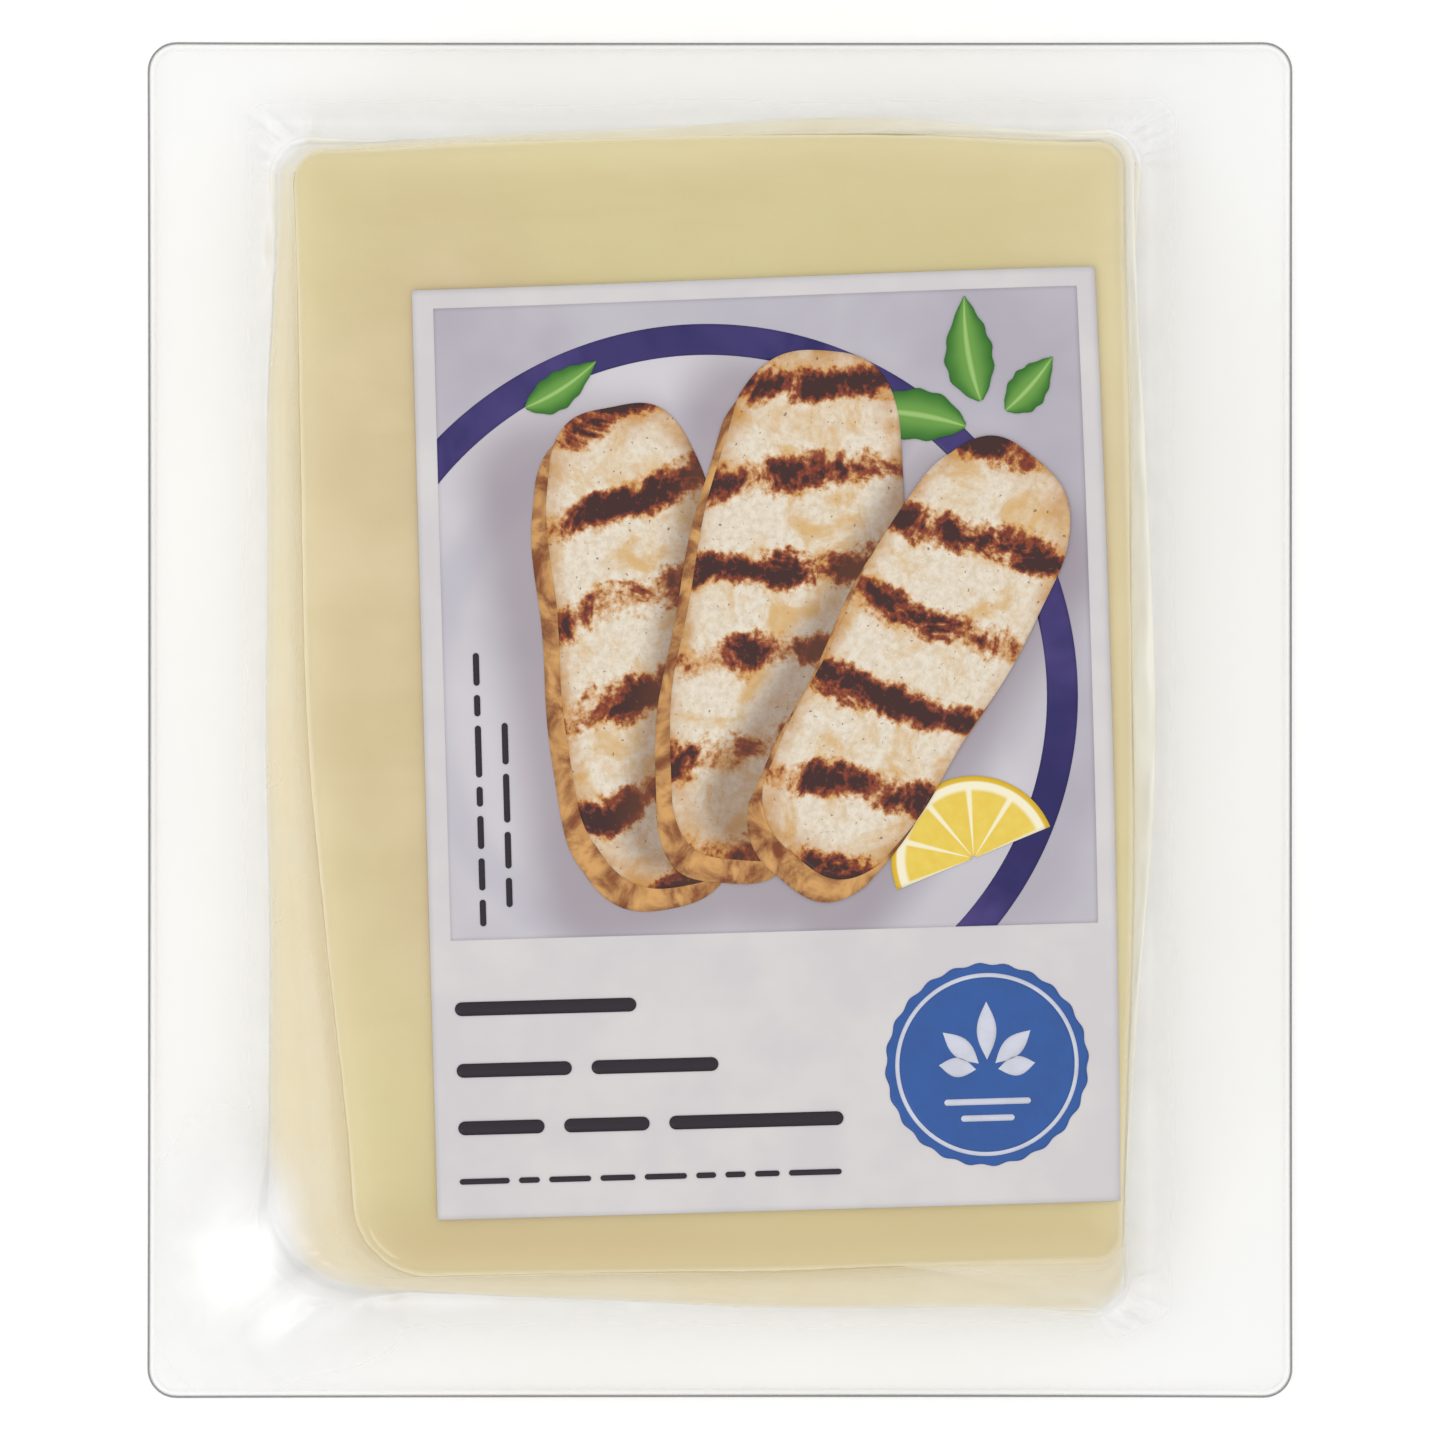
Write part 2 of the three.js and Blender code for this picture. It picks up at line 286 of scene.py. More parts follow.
def bowed_outline(corners, radii, bows):
    """Four corner arcs and four bowed sides, anticlockwise, the same count of points for every outline."""
    tips = np.array(corners, float)
    arcs = []
    for before, tip, after, radius in zip(np.roll(tips, 1, 0), tips, np.roll(tips, -1, 0), radii):
        back = (before - tip) / np.linalg.norm(before - tip)
        on = (after - tip) / np.linalg.norm(after - tip)
        half_angle = math.acos(back @ on) / 2
        middle = (back + on) / np.linalg.norm(back + on)
        centre = tip + middle * radius / math.sin(half_angle)
        start = tip + back * radius / math.tan(half_angle) - centre
        sweep = math.pi - 2 * half_angle
        angle = math.atan2(start[1], start[0]) + sweep * np.linspace(0, 1, CORNER_STEPS + 1)
        arcs.append(centre + radius * np.column_stack([np.cos(angle), np.sin(angle)]))
    parts = []
    t = side_places()
    for arc, following, bow in zip(arcs, arcs[1:] + arcs[:1], bows):
        along = following[0] - arc[-1]
        outward = np.array([along[1], -along[0]]) / np.linalg.norm(along)
        parts += [arc, arc[-1] + t[:, None] * along + bow_height(bow, t)[:, None] * outward]
    return np.concatenate(parts)


def inset(outline, distance):
    """The outline moved in by a distance, one for all points or one for each."""
    along = np.roll(outline, -1, 0) - np.roll(outline, 1, 0)
    inward = np.column_stack([-along[:, 1], along[:, 0]]) / np.linalg.norm(along, axis=1, keepdims=True)
    return outline + inward * np.reshape(distance, (-1, 1))


def mix(first, second, share):
    """Each point moved its share of the straight way from the first outline to the second."""
    return first + (second - first) * np.reshape(share, (-1, 1))


def at_height(outline, height):
    """An outline in space, at one height or at a height for each point."""
    return np.column_stack([outline, np.broadcast_to(height, len(outline))])


def rim_outline():
    """The pack's rounded rectangle, shared out so that each corner's points fan over a length of its sides.

    A fan's points stand apart as a line plus a cube, so they are closest at the corner."""
    half = PACK_HALF
    tips = [(-half[0], half[1]), (-half[0], -half[1]), (half[0], -half[1]), (half[0], half[1])]
    fine = bowed_outline(tips, [PACK_CORNER_RADIUS] * 4, [(0, 0, 0)] * 4)
    steps = np.linalg.norm(np.roll(fine, -1, 0) - fine, axis=1)
    length = np.concatenate([[0], np.cumsum(steps)])
    loop = np.concatenate([fine, fine[:1]])
    per_corner = CORNER_STEPS + SIDE_STEPS
    middles = length[np.arange(4) * per_corner + CORNER_STEPS // 2]
    middles = np.append(middles, middles[0] + length[-1])
    parts = []
    across = np.linspace(-1, 1, CORNER_STEPS + 1)
    for middle, following in zip(middles, middles[1:]):
        fan = middle + CORNER_FAN * (0.3 * across + 0.7 * across ** 3)
        gap = following - middle - 2 * CORNER_FAN
        parts += [fan, fan[-1] + gap * side_places()]
    place = np.concatenate(parts) % length[-1]
    return np.column_stack([np.interp(place, length, loop[:, axis]) for axis in (0, 1)])


LOWER = bowed_outline(**LOWER_LAYER)
UPPER = bowed_outline(**UPPER_LAYER)
RIM = rim_outline()
BEAD = WELD / 2
FOLD = smoothstep(FOLD_START_X, FOLD_END_X, LOWER[:, 0])

# Every other point of the upper layer's outline, which is enough to measure how far inside it a place is
UPPER_SPARSE = UPPER[::2]

# Where the film bridges: a bell round each corner, wide at the lower left one and narrow at the others
BRIDGE = np.max([
    width * np.exp(-((LOWER - corner) ** 2).sum(1) / BRIDGE_SPREAD ** 2)
    for corner, width in zip(LOWER_LAYER["corners"], BRIDGE_WIDTHS)
], axis=0)


def corner_places():
    """Each point's place in its corner's fan: -1 to 1 across the fan, and out to 4 by a side's middle."""
    t = side_places()
    side = np.where(t < 0.5, 1 + 6 * t, -1 - 6 * (1 - t))
    return np.tile(np.concatenate([np.linspace(-1, 1, CORNER_STEPS + 1), side]), 4)


def corner_numbers():
    """Which corner each point belongs to: the corner takes in half of the side on either hand."""
    near_half = (SIDE_STEPS - 1) // 2
    counts = [CORNER_STEPS + 1 + near_half, SIDE_STEPS - 1 - near_half]
    return np.repeat([0, 1, 1, 2, 2, 3, 3, 0], np.tile(counts, 4))


CORNER_PLACE = corner_places()
CORNER_NUMBER = corner_numbers()


# The cheese's form, shared with the solid

def swell(x, y, z):
    """Slow swells and dips of the pressed curd: products of sines along the three directions."""
    return np.sin(x / 9 + 0.7) * np.cos(y / 12.5 - 0.4) * np.cos(z / 8) + 0.5 * np.sin((x + y) / 6.1)


def cheese_top(x, y):
    """Height of the top face: a low crown, as squares of the distance from the middle, less slow dents."""
    crown = CROWN * ((x / PACK_HALF[0]) ** 2 + (y / PACK_HALF[1]) ** 2)
    return CHEESE_HEIGHT - crown - TOP_UNEVENNESS * (1.5 + swell(x, y, 0.0))


def edge_drop(depth):
    """How far the quarter-round top edge has dropped at a depth inside the wall."""
    short = np.clip(TOP_EDGE_RADIUS - depth, 0, TOP_EDGE_RADIUS)
    return TOP_EDGE_RADIUS - np.sqrt(TOP_EDGE_RADIUS ** 2 - short ** 2)


def depth_inside(x, y, outline):
    """The shortest way from each point to an outline's edges, for many points at once."""
    start, end = outline, np.roll(outline, -1, 0)
    edge = end - start
    length = np.maximum((edge ** 2).sum(1), 1e-9)
    points = np.stack([np.ravel(x), np.ravel(y)], -1)[:, None, :]
    t = np.clip(((points - start) * edge).sum(-1) / length, 0, 1)
    return np.linalg.norm(points - start - t[..., None] * edge, axis=-1).min(axis=1).reshape(np.shape(x))


def uneven_wall(outline, z):
    """A wall ring pushed in and out by the curd's swells, towards the pack's middle and away from it."""
    ring = at_height(outline, z)
    reach = np.linalg.norm(outline, axis=1)
    push = 1 - WALL_UNEVENNESS * swell(outline[:, 0], outline[:, 1], z) / reach
    return ring * np.column_stack([push, push, np.ones(len(push))])


def shoulder(distance):
    """The lower layer's outline moved in by a distance, but less and less towards the fold."""
    return mix(inset(LOWER, distance), LOWER, FOLD)


def top_edge_ring(distance, lift):
    """A ring of the quarter-round top edge at a depth inside the wall, or the film's, a lift away from it."""
    ring = inset(UPPER, distance - lift)
    return at_height(ring, cheese_top(*ring.T) + lift - edge_drop(distance))


def cheese_keys():
    """The slab's key rings: base, foot, lower wall, ledge, seam, upper wall and rounded top edge."""
    keys = [at_height(inset(LOWER, distance), CHEESE_BASE) for distance in BASE_INSETS]
    keys += [uneven_wall(inset(LOWER, distance), z) for distance, z in FOOT_KEYS]
    keys += [uneven_wall(shoulder(distance), z) for distance, z in SHOULDER_KEYS]
    rim = shoulder(LEDGE_ROUNDING)
    keys.append(at_height(rim, LOWER_HEIGHT - LEDGE_DROP))
    for share, z in LEDGE_KEYS:
        keys.append(at_height(mix(rim, UPPER, share + (FOLD_SEAM_SHARE - share) * FOLD), LOWER_HEIGHT + z))
    seam = mix(rim, UPPER, 1 - (1 - FOLD_SEAM_SHARE) * FOLD)
    seam *= 1 - (SEAM_DEPTH * (1 - FOLD) / np.linalg.norm(seam, axis=1))[:, None]
    keys.append(at_height(seam, LOWER_HEIGHT + SEAM_RISE))
    for distance, share, z in UPPER_WALL_KEYS:
        keys.append(uneven_wall(mix(LOWER, inset(UPPER, distance), 1 - (1 - share) * FOLD), z))
    return keys + [top_edge_ring(distance, 0) for distance in TOP_EDGE_INSETS]


def flat_rings(outline, shares, height):
    """Rings that share out the way from an outline to the middle, at the height that a function gives."""
    return np.stack([at_height(outline * share, height(*(outline * share).T)) for share in shares])


def curd_relief(points, normals):
    """Fine relief along the normals: knit lines on the walls and a slow grain, as bent sines, and pits."""
    x, y, z = np.moveaxis(points, -1, 0)
    wall = 1 - np.abs(normals[..., 2])
    knit = KNIT_DEPTH * wall * np.sin(z * 2.6 + 1.3 * np.sin(x / 7 + y / 9)) * np.sin(x / 11 - y / 14)
    grain = GRAIN_DEPTH * np.sin(x * 1.7 + 2 * np.sin(y / 3)) * np.sin(y * 1.3 + 2 * np.sin(x / 4) + z)
    return knit + grain - curd_pits(points)


def curd_pits(points):
    """Round-bottomed pits at seeded places on the skin: each is a bell of its own width and depth.

    There are none at the foot, and near the top face they are a fifth as deep."""
    draw = np.random.default_rng(SEED)
    flat = points.reshape(-1, 3)
    chosen = flat[draw.choice(len(flat), PIT_COUNT, replace=False)]
    width = draw.uniform(*PIT_WIDTHS, len(chosen))
    depth = draw.uniform(*PIT_DEPTHS, len(chosen)) * smoothstep(1.5, 4.0, chosen[:, 2])
    depth *= 1 - 0.8 * smoothstep(22, 26, chosen[:, 2])
    total = np.zeros(len(flat))
    for place, spread, deep in zip(chosen, width, depth):
        total = np.maximum(total, deep * np.exp(-((flat - place) ** 2).sum(1) / spread ** 2))
    return total.reshape(points.shape[:-1])


def painted_light_share(rings, normals):
    """How much paler the curd is painted, 0 to 1, as painted light: fully on the walls, partly low on the
    slab, and along the top edge.

    Along the edge it falls off inwards as a short exponential and a long one."""
    height = rings[..., 2]
    steep = 1 - np.abs(normals[..., 2])
    depth = depth_inside(rings[..., 0], rings[..., 1], UPPER_SPARSE)
    near_edge = sum(strength * np.exp(-depth / fade) for strength, fade in PAINTED_LIGHT_AT_EDGE)
    near_edge = near_edge * smoothstep(*PAINTED_LIGHT_TOP_STARTS, height)
    low = PAINTED_LIGHT_LOW * (1 - smoothstep(*PAINTED_LIGHT_LOW_ENDS, height))
    return np.maximum(np.maximum(steep, near_edge), low)


def make_cheese():
    """The slab as one closed skin: flat base, walls with both layers, and the crowned top face."""
    walls = refine(cheese_keys(), CHEESE_SPACING)
    base = flat_rings(walls[0, :, :2], np.linspace(0.05, 0.95, 10), lambda x, y: CHEESE_BASE)
    top = flat_rings(inset(UPPER, TOP_EDGE_RADIUS), np.linspace(0.985, 0.01, 62), cheese_top)
    rings = np.concatenate([base, walls, top])
    normals = grid_normals(rings)
    rings = rings + normals * curd_relief(rings, normals)[..., None]
    points, quads, triangles = capped_stack(rings)
    # The pale mark is painted light: paler paint on the walls, low on the slab and along the top edge
    marks = {"pale": np.append(painted_light_share(rings, normals).ravel(), [0, 0])}
    return make_piece("cheese", points, quads, triangles, marks)


# The film

def margin_wave(x, y):
    """How high the margin's underside lies: a slow wave, as a product of sines, and the corners' curl, as the
    fourth power of how far out a place is both ways."""
    wave = MARGIN_WAVE * (0.5 + 0.5 * np.sin(x / 23 + 0.6) * np.cos(y / 31 - 0.4))
    return wave, MARGIN_CURL * (x * y / (PACK_HALF[0] * PACK_HALF[1])) ** 4


def corner_pleats(share):
    """Pleats that fan out from the block's corners: narrow bells across the fan, fading along the margin."""
    draw = np.random.default_rng(SEED + 1)
    total = np.zeros((len(share), AROUND))
    along = np.reshape(share, (-1, 1))
    for corner in range(4):
        here = CORNER_NUMBER == corner
        for place in np.linspace(-PLEATS["out"], PLEATS["out"], PLEATS["count"]):
            centre = place + draw.uniform(-PLEATS["moved"], PLEATS["moved"])
            width = draw.uniform(*PLEATS["width"])
            reach = draw.uniform(*PLEATS["reach"]) * (1 - 0.35 * abs(place))
            height = draw.uniform(*PLEATS["height"])
            bell = np.exp(-np.abs((CORNER_PLACE - centre - 0.12 * along) / width) ** 1.4)
            run = smoothstep(0, 0.08, along) * (1 - smoothstep(0.25 * reach, reach, along))
            total = np.maximum(total, here * bell * run * height)
    return total


def side_ripples(x, y, share):
    """Small gathers along the block's sides, square to them: bent sines that fade towards the rim."""
    fade = np.exp(-share / 0.28) * smoothstep(0, 0.1, share)
    across = np.where(np.abs(x) / PACK_HALF[0] > np.abs(y) / PACK_HALF[1], y, x)
    wave = np.sin(across / 1.9 + 2 * np.sin(across / 8.3)) * np.sin(across / 5.3 + 0.8) ** 2
    return RIPPLE_HEIGHT * fade * wave


def margin_sheet(share, inner, topside):
    """The margin between the block's foot and the rim: its upper or lower film, at each share of the way.

    The upper film comes down from the walls as a cube, and the lower one starts flat under the slab."""
    along = share[:, None]
    place = inner + (inset(RIM, BEAD) - inner) * along[..., None]
    x, y = place[..., 0], place[..., 1]
    wave, curl = margin_wave(x, y)
    height = MARGIN_FOOT + wave * along + curl
    if topside:
        climb = WALL_CLIMB * (1 - along) ** 3
        height = height + WELD + climb + corner_pleats(share) + side_ripples(x, y, along)
    else:
        lifted = smoothstep(0, 0.35, along)
        height = height * lifted + FILM_UNDER_CHEESE * (1 - lifted)
        height = height + UNDERSIDE_PLEATS * corner_pleats(share) * smoothstep(0.2, 0.5, along)
    return np.concatenate([place, height[..., None]], -1)


def film_rim(below, above):
    """The rim's bead: half a circle from the lower film's edge to the upper one's."""
    middle = (below + above) / 2
    outward = RIM - inset(RIM, 1)
    angles = np.linspace(-math.pi / 2, math.pi / 2, 7)[1:-1, None, None]
    arc = np.concatenate([np.cos(angles) * outward, np.sin(angles) * np.ones((1, AROUND, 1))], -1)
    return middle + BEAD * arc


def tent_keys():
    """The film over the ledge, from the lower shoulder in and up the upper wall.

    On the open sides each ring is a point of a cubic curve from the shoulder to the top edge, and on the fold
    side it keeps to the wall."""
    start = inset(UPPER, -FILM_OVER_CHEESE)
    end = inset(shoulder(LEDGE_ROUNDING), -FILM_OVER_CHEESE)
    rise = TENT_TOP - TENT_FOOT
    keys = []
    for step, fold_share in enumerate(TENT_FOLD_SHARES):
        t = step / (len(TENT_FOLD_SHARES) - 1)
        early, late = 3 * t * (1 - t) ** 2, 3 * t ** 2 * (1 - t)
        open_ring = mix(start, end, (1 - t) ** 3 + 0.62 * early + 0.12 * late)
        open_z = TENT_FOOT + rise * (t ** 3 + 0.3 * late + 0.02 * early)
        fold_ring = inset(mix(LOWER, UPPER, fold_share), -FILM_OVER_CHEESE)
        fold_z = TENT_FOOT + rise * t
        keys.append(uneven_wall(mix(open_ring, fold_ring, FOLD), open_z + (fold_z - open_z) * FOLD))
    return keys


def film_walls(foot):
    """The film up the slab's sides, from the top of the margin to the rounded top edge."""
    keys = [foot]
    keys += [uneven_wall(inset(LOWER, -(gap + bridge * BRIDGE)), z) for gap, bridge, z in WALL_GAPS]
    keys += [uneven_wall(inset(shoulder(distance), -FILM_OVER_CHEESE), z) for distance, z in SHOULDER_KEYS]
    keys += tent_keys()
    keys += [top_edge_ring(distance, FILM_OVER_CHEESE) for distance in TOP_EDGE_INSETS]
    return refine(keys, FILM_SPACING)


def wall_creases(rings):
    """Upright creases where the film gathers round the slab's corners, as a push outwards.

    Each is a bell across the corner's fan, and it fades at the foot and towards a height of its own."""
    draw = np.random.default_rng(SEED + 2)
    height = rings[..., 2]
    total = np.zeros(height.shape)
    for corner in range(4):
        here = CORNER_NUMBER == corner
        for place in np.linspace(-WALL_CREASES["out"], WALL_CREASES["out"], WALL_CREASES["count"]):
            centre = place + draw.uniform(-WALL_CREASES["moved"], WALL_CREASES["moved"])
            width = draw.uniform(*WALL_CREASES["width"])
            size = draw.uniform(*WALL_CREASES["height"])
            top = draw.uniform(*WALL_CREASES["top"])
            bell = np.exp(-np.abs((CORNER_PLACE - centre) / width) ** 1.5)
            run = (1 - smoothstep(0.5 * top, top, height)) * smoothstep(1.8, 4, height)
            total += here * bell * size * run
    return total


def top_creases(points):
    """Faint straight creases in the film on the top face: low bells across seeded lines.

    They lie near an ellipse just inside the slab's edge and run roughly along it."""
    draw = np.random.default_rng(SEED + 3)
    x, y, z = np.moveaxis(points, -1, 0)
    on_top = smoothstep(CHEESE_HEIGHT - 2.2, CHEESE_HEIGHT - 1, z)
    total = np.zeros(x.shape)
    half = TOP_CREASES["half"]
    for _ in range(TOP_CREASES["count"]):
        angle = draw.uniform(0, 2 * math.pi)
        middle = np.array([math.cos(angle) * half[0], math.sin(angle) * half[1]])
        middle = middle * draw.uniform(*TOP_CREASES["out"])
        lean = angle + draw.normal(math.pi / 2, 0.5)
        along = (x - middle[0]) * math.cos(lean) + (y - middle[1]) * math.sin(lean)
        across = (y - middle[1]) * math.cos(lean) - (x - middle[0]) * math.sin(lean)
        length = draw.uniform(*TOP_CREASES["length"])
        width = draw.uniform(*TOP_CREASES["width"])
        bell = np.exp(-(across / width) ** 2 - (along / length) ** 4)
        total = np.maximum(total, draw.uniform(*TOP_CREASES["height"]) * bell)
    return total * on_top


# The film's zones, in the order of their rings
BASE, BELOW, RIM_BEAD, ABOVE, WALLS, TOP = range(6)


def make_film():
    """The whole film as one closed skin: base, lower margin, rim, upper margin, walls and top."""
    foot = inset(LOWER, FILM_BASE_INSET)
    wall_foot = inset(LOWER, -FOOT_GAP[0] - FOOT_GAP[1] * BRIDGE)
    base = flat_rings(foot, np.linspace(0.04, 1, 12), lambda x, y: FILM_UNDER_CHEESE)
    below = margin_sheet(np.linspace(0, 1, 18)[1:], foot, topside=False)
    above = margin_sheet(np.linspace(1, 0, 42) ** 1.25, wall_foot, topside=True)
    rim = film_rim(below[-1], above[0])
    walls = film_walls(above[-1])
    walls = walls + grid_normals(walls) * wall_creases(walls)[..., None]
    flat = inset(UPPER, TOP_EDGE_RADIUS - FILM_OVER_CHEESE)
    shares = 1 - np.linspace(0, 0.99, 46)[1:] ** 0.9
    top = flat_rings(flat, shares, lambda x, y: cheese_top(x, y) + FILM_OVER_CHEESE)
    sections = [base, below, rim, above, walls[1:], top]
    rings = np.concatenate(sections)
    rings[..., 2] += top_creases(rings)
    zone = np.repeat([BASE, BELOW, RIM_BEAD, ABOVE, WALLS, TOP], [len(section) for section in sections])
    points, quads, triangles = capped_stack(rings)
    return make_piece("film", points, quads, triangles, film_marks(rings, zone[:, None]))


def inside_rim(x, y):
    """How far inside the pack's rounded outline a place is."""
    over = np.stack([np.abs(x), np.abs(y)], -1) - (PACK_HALF - PACK_CORNER_RADIUS)
    round_part = np.linalg.norm(np.maximum(over, 0), axis=-1)
    return PACK_CORNER_RADIUS - round_part - np.minimum(over.max(-1), 0)


def depth_outside(x, y):
    """How far outside the lower layer's outline a place is, by its corners' bounding lines."""
    low, high = LOWER.min(0), LOWER.max(0)
    over = np.stack([np.maximum(low[0] - x, x - high[0]), np.maximum(low[1] - y, y - high[1])], -1)
    return np.linalg.norm(np.maximum(over, 0), axis=-1)


# Painted glare in the film, laid on as white haze: the two round the lower left corner paint a highlight's
# glare there, and the small ones paint highlights on the film gathered at the slab's corners. How strong each
# is, its middle and its half widths
GLARE_BLOOMS = [(2.2, (-48, -53), (8, 12.5)), (2.0, (-43, -59), (10, 6))]
GLARE_BLOOMS += [(1.5, corner, (3.4, 3.4)) for corner in LOWER_LAYER["corners"]]

# The haze round the slab's foot, partly milky film and partly painted light that lightens the shade the slab
# casts there: how strong it is at the foot, and the distance over which it fades
FOOT_HAZE_AND_PAINTED_LIGHT, FOOT_FADE = 1.3, 2.4

# The walls' haze: how strong it is at the foot and how much of that it loses, over which heights it thins and
# ends, and how much higher up the bulging fold it does so
WALL_HAZE, WALL_HAZE_LOST = 1.25, 0.95
HAZE_THINS, HAZE_ENDS = (1, 24), (22, 26.9)
HAZE_UP_FOLD = 8

# The ends of the slab where the walls' haze changes, thicker at the upper end as painted light and thinner at
# the low end as painted shade, and the clearer belt low on the walls
UPPER_END, LOWER_END = (44, 56), (46, 56)
BELT_STARTS, BELT_FADES = (2.5, 5.5), (6, 17)

# What counts as far from the rim where the film is on the slab
FAR_FROM_RIM = 20.0


def wall_haze_and_painted_light(y, z):
    """The walls' haze: it thins with height and is gone at the top edge.

    It is thicker on the bulging fold, less so at the low end, where the thinner haze is painted shade, and
    thicker at the upper end, where it is painted light. It is thinner in a belt low on the walls, where the
    film clings."""
    # The haze thins on the fold at the low end, which is painted shade, and thickens at the upper end, which
    # is painted light
    bulge = FOLD * (1 - 0.6 * smoothstep(*LOWER_END, -y))
    thinned = WALL_HAZE_LOST * smoothstep(*HAZE_THINS, z - HAZE_UP_FOLD * bulge)
    haze = (WALL_HAZE - thinned) * (1 - smoothstep(*HAZE_ENDS, z))
    haze = haze * (1 + np.maximum(0.8 * bulge, 0.7 * smoothstep(*UPPER_END, y)))
    belt = smoothstep(*BELT_STARTS, z) * (1 - smoothstep(*BELT_FADES, z))
    return haze * (1 - (0.55 + 0.1 * FOLD) * belt)


def painted_glare(x, y, z):
    """The painted glare: the highest of its bells at each point, fading up the walls."""
    bloom = np.zeros(x.shape)
    for strength, (middle_x, middle_y), (half_x, half_y) in GLARE_BLOOMS:
        bell = strength * np.exp(-((x - middle_x) / half_x) ** 2 - ((y - middle_y) / half_y) ** 2)
        bloom = np.maximum(bloom, bell)
    return bloom * (1 - smoothstep(12, 23, z))


def film_marks(rings, zone):
    """Numbers for each point: the film's haze, which also carries painted light, glare and shade, how much of
    it lies on the slab, and how far the rim is.

    Round the foot the haze fades outwards as an exponential. On the slab it gives way to the painted glare."""
    x, y, z = np.moveaxis(rings, -1, 0)
    wall = (zone == WALLS) * wall_haze_and_painted_light(y, z)
    # Round the foot the haze is partly painted light, lightening the slab's shade on the margin
    foot = (zone == ABOVE) * FOOT_HAZE_AND_PAINTED_LIGHT * np.exp(-depth_outside(x, y) / FOOT_FADE)
    bloom = (zone >= ABOVE) * painted_glare(x, y, z)
    haze = np.maximum(np.maximum(wall, foot), bloom)
    cover = wall * np.clip(1.2 - bloom, 0, 1)
    away = np.where((zone >= BELOW) & (zone <= ABOVE), inside_rim(x, y), FAR_FROM_RIM)
    marks = {"haze": haze, "cover": cover, "rim": away}
    return {key: np.append(values.ravel(), values.ravel()[[0, -1]]) for key, values in marks.items()}


# The label and its print

def on_pack(s, t):
    """Places on the label, from its middle across and up, turned and moved to their places on the pack.

    The paper's right side bows out and its upper right corner is pulled up, each by a smooth share."""
    right = smoothstep(-LABEL_HALF[0], LABEL_HALF[0], s)
    high = t / LABEL_HALF[1]
    s = s + LABEL_BOW * right * (1 - high ** 2)
    t = t + LABEL_PULL * right * smoothstep(0, 1, high)
    x = LABEL_CENTRE[0] + s * math.cos(LABEL_TURN) - t * math.sin(LABEL_TURN)
    y = LABEL_CENTRE[1] + s * math.sin(LABEL_TURN) + t * math.cos(LABEL_TURN)
    return x, y


def label_height(x, y):
    """Height of the label's underside: it lies on the film and bends a little over the slab's edge."""
    return cheese_top(x, y) - LABEL_DRAPE * edge_drop(depth_inside(x, y, UPPER_SPARSE)) + LABEL_UNDERSIDE


def make_label():
    """A sheet of paper as a closed slab: an upper and a lower grid joined by a strip round their edges."""
    rows, columns = LABEL_GRID
    s, t = np.meshgrid(
        np.linspace(-LABEL_HALF[0], LABEL_HALF[0], columns),
        np.linspace(-LABEL_HALF[1], LABEL_HALF[1], rows),
    )
    x, y = on_pack(s, t)
    z = label_height(x, y)
    upper = np.stack([x, y, z + LABEL_PAPER], -1).reshape(-1, 3)
    lower = np.stack([x, y, z], -1).reshape(-1, 3)
    count = rows * columns
    index = np.arange(count).reshape(rows, columns)
    loop = np.concatenate([index[0, :-1], index[:-1, -1], index[-1, :0:-1], index[:0:-1, 0]])
    on = np.roll(loop, -1)
    top = grid_faces(rows, columns)
    bottom = top[:, ::-1] + count
    side = np.stack([loop + count, on + count, on, loop], -1)
    uv = np.concatenate([np.stack([s, t], -1).reshape(-1, 2)] * 2)
    piece = make_piece("label", np.concatenate([upper, lower]), np.concatenate([top, bottom, side]), uv=uv)
    smooth = np.repeat([True, True, False], [len(top), len(bottom), len(side)])
    piece.data.polygons.foreach_set("use_smooth", smooth)
    return piece


class Print:
    """Flat shapes on the label that share one piece: grids of places on the label, draped over the paper."""

    def __init__(self, level):
        self.level = level
        self.points, self.quads, self.uv, self.marks, self.count = [], [], [], {}, 0

    def add(self, s, t, uv=None, **marks):
        """Adds one grid of places across and up the label, with rows going up and columns rightwards."""
        rows, columns = s.shape
        self.quads.append(grid_faces(rows, columns, self.count))
        self.points.append(np.stack([s, t], -1).reshape(-1, 2))
        self.uv.append(self.points[-1] if uv is None else np.stack(uv, -1).reshape(-1, 2))
        for key, values in marks.items():
            self.marks.setdefault(key, []).append(np.broadcast_to(values, s.shape).ravel())
        self.count += s.size

    def piece(self, name):
        """The print as a piece, over the paper by its level, with the ink's thickness from a modifier."""
        places = np.concatenate(self.points)
        x, y = on_pack(*places.T)
        z = label_height(x, y) + LABEL_PAPER + INK_LIFT + self.level * (INK_LIFT + INK_THICKNESS)
        marks = {key: np.concatenate(values) for key, values in self.marks.items()}
        points, quads = np.column_stack([x, y, z]), np.concatenate(self.quads)
        piece = make_piece(name, points, quads, marks=marks, uv=np.concatenate(self.uv))
        layer = piece.modifiers.new("ink", "SOLIDIFY")
        layer.thickness = INK_THICKNESS * MM
        layer.offset = 1
        return piece


# The picture panel's bounds on the label, and what is in it, from the label's middle
PANEL_LEFT, PANEL_RIGHT = -31.2, 31.4
PANEL_BOTTOM, PANEL_TOP = -18.1, 43.4
PLATE_CENTRE = np.array([-6.0, 5.0])
PLATE_RADIUS = 36.0
PLATE_BAND = 3.0
PLATE_WELL, PLATE_WELL_BLUR = 0.74, 3.5

# Each grilled slice: its middle, its lean in degrees, half its length and half its width. All have one power,
# which says how square their ends are.
SLICES = [
    dict(middle=(-11.5, 10.5), lean=98, half=(23.5, 8.6)),
    dict(middle=(2.0, 13.0), lean=78, half=(25.0, 9.2)),
    dict(middle=(14.5, 8.0), lean=57, half=(22.5, 8.8)),
]
SLICE_POWER = 3.2

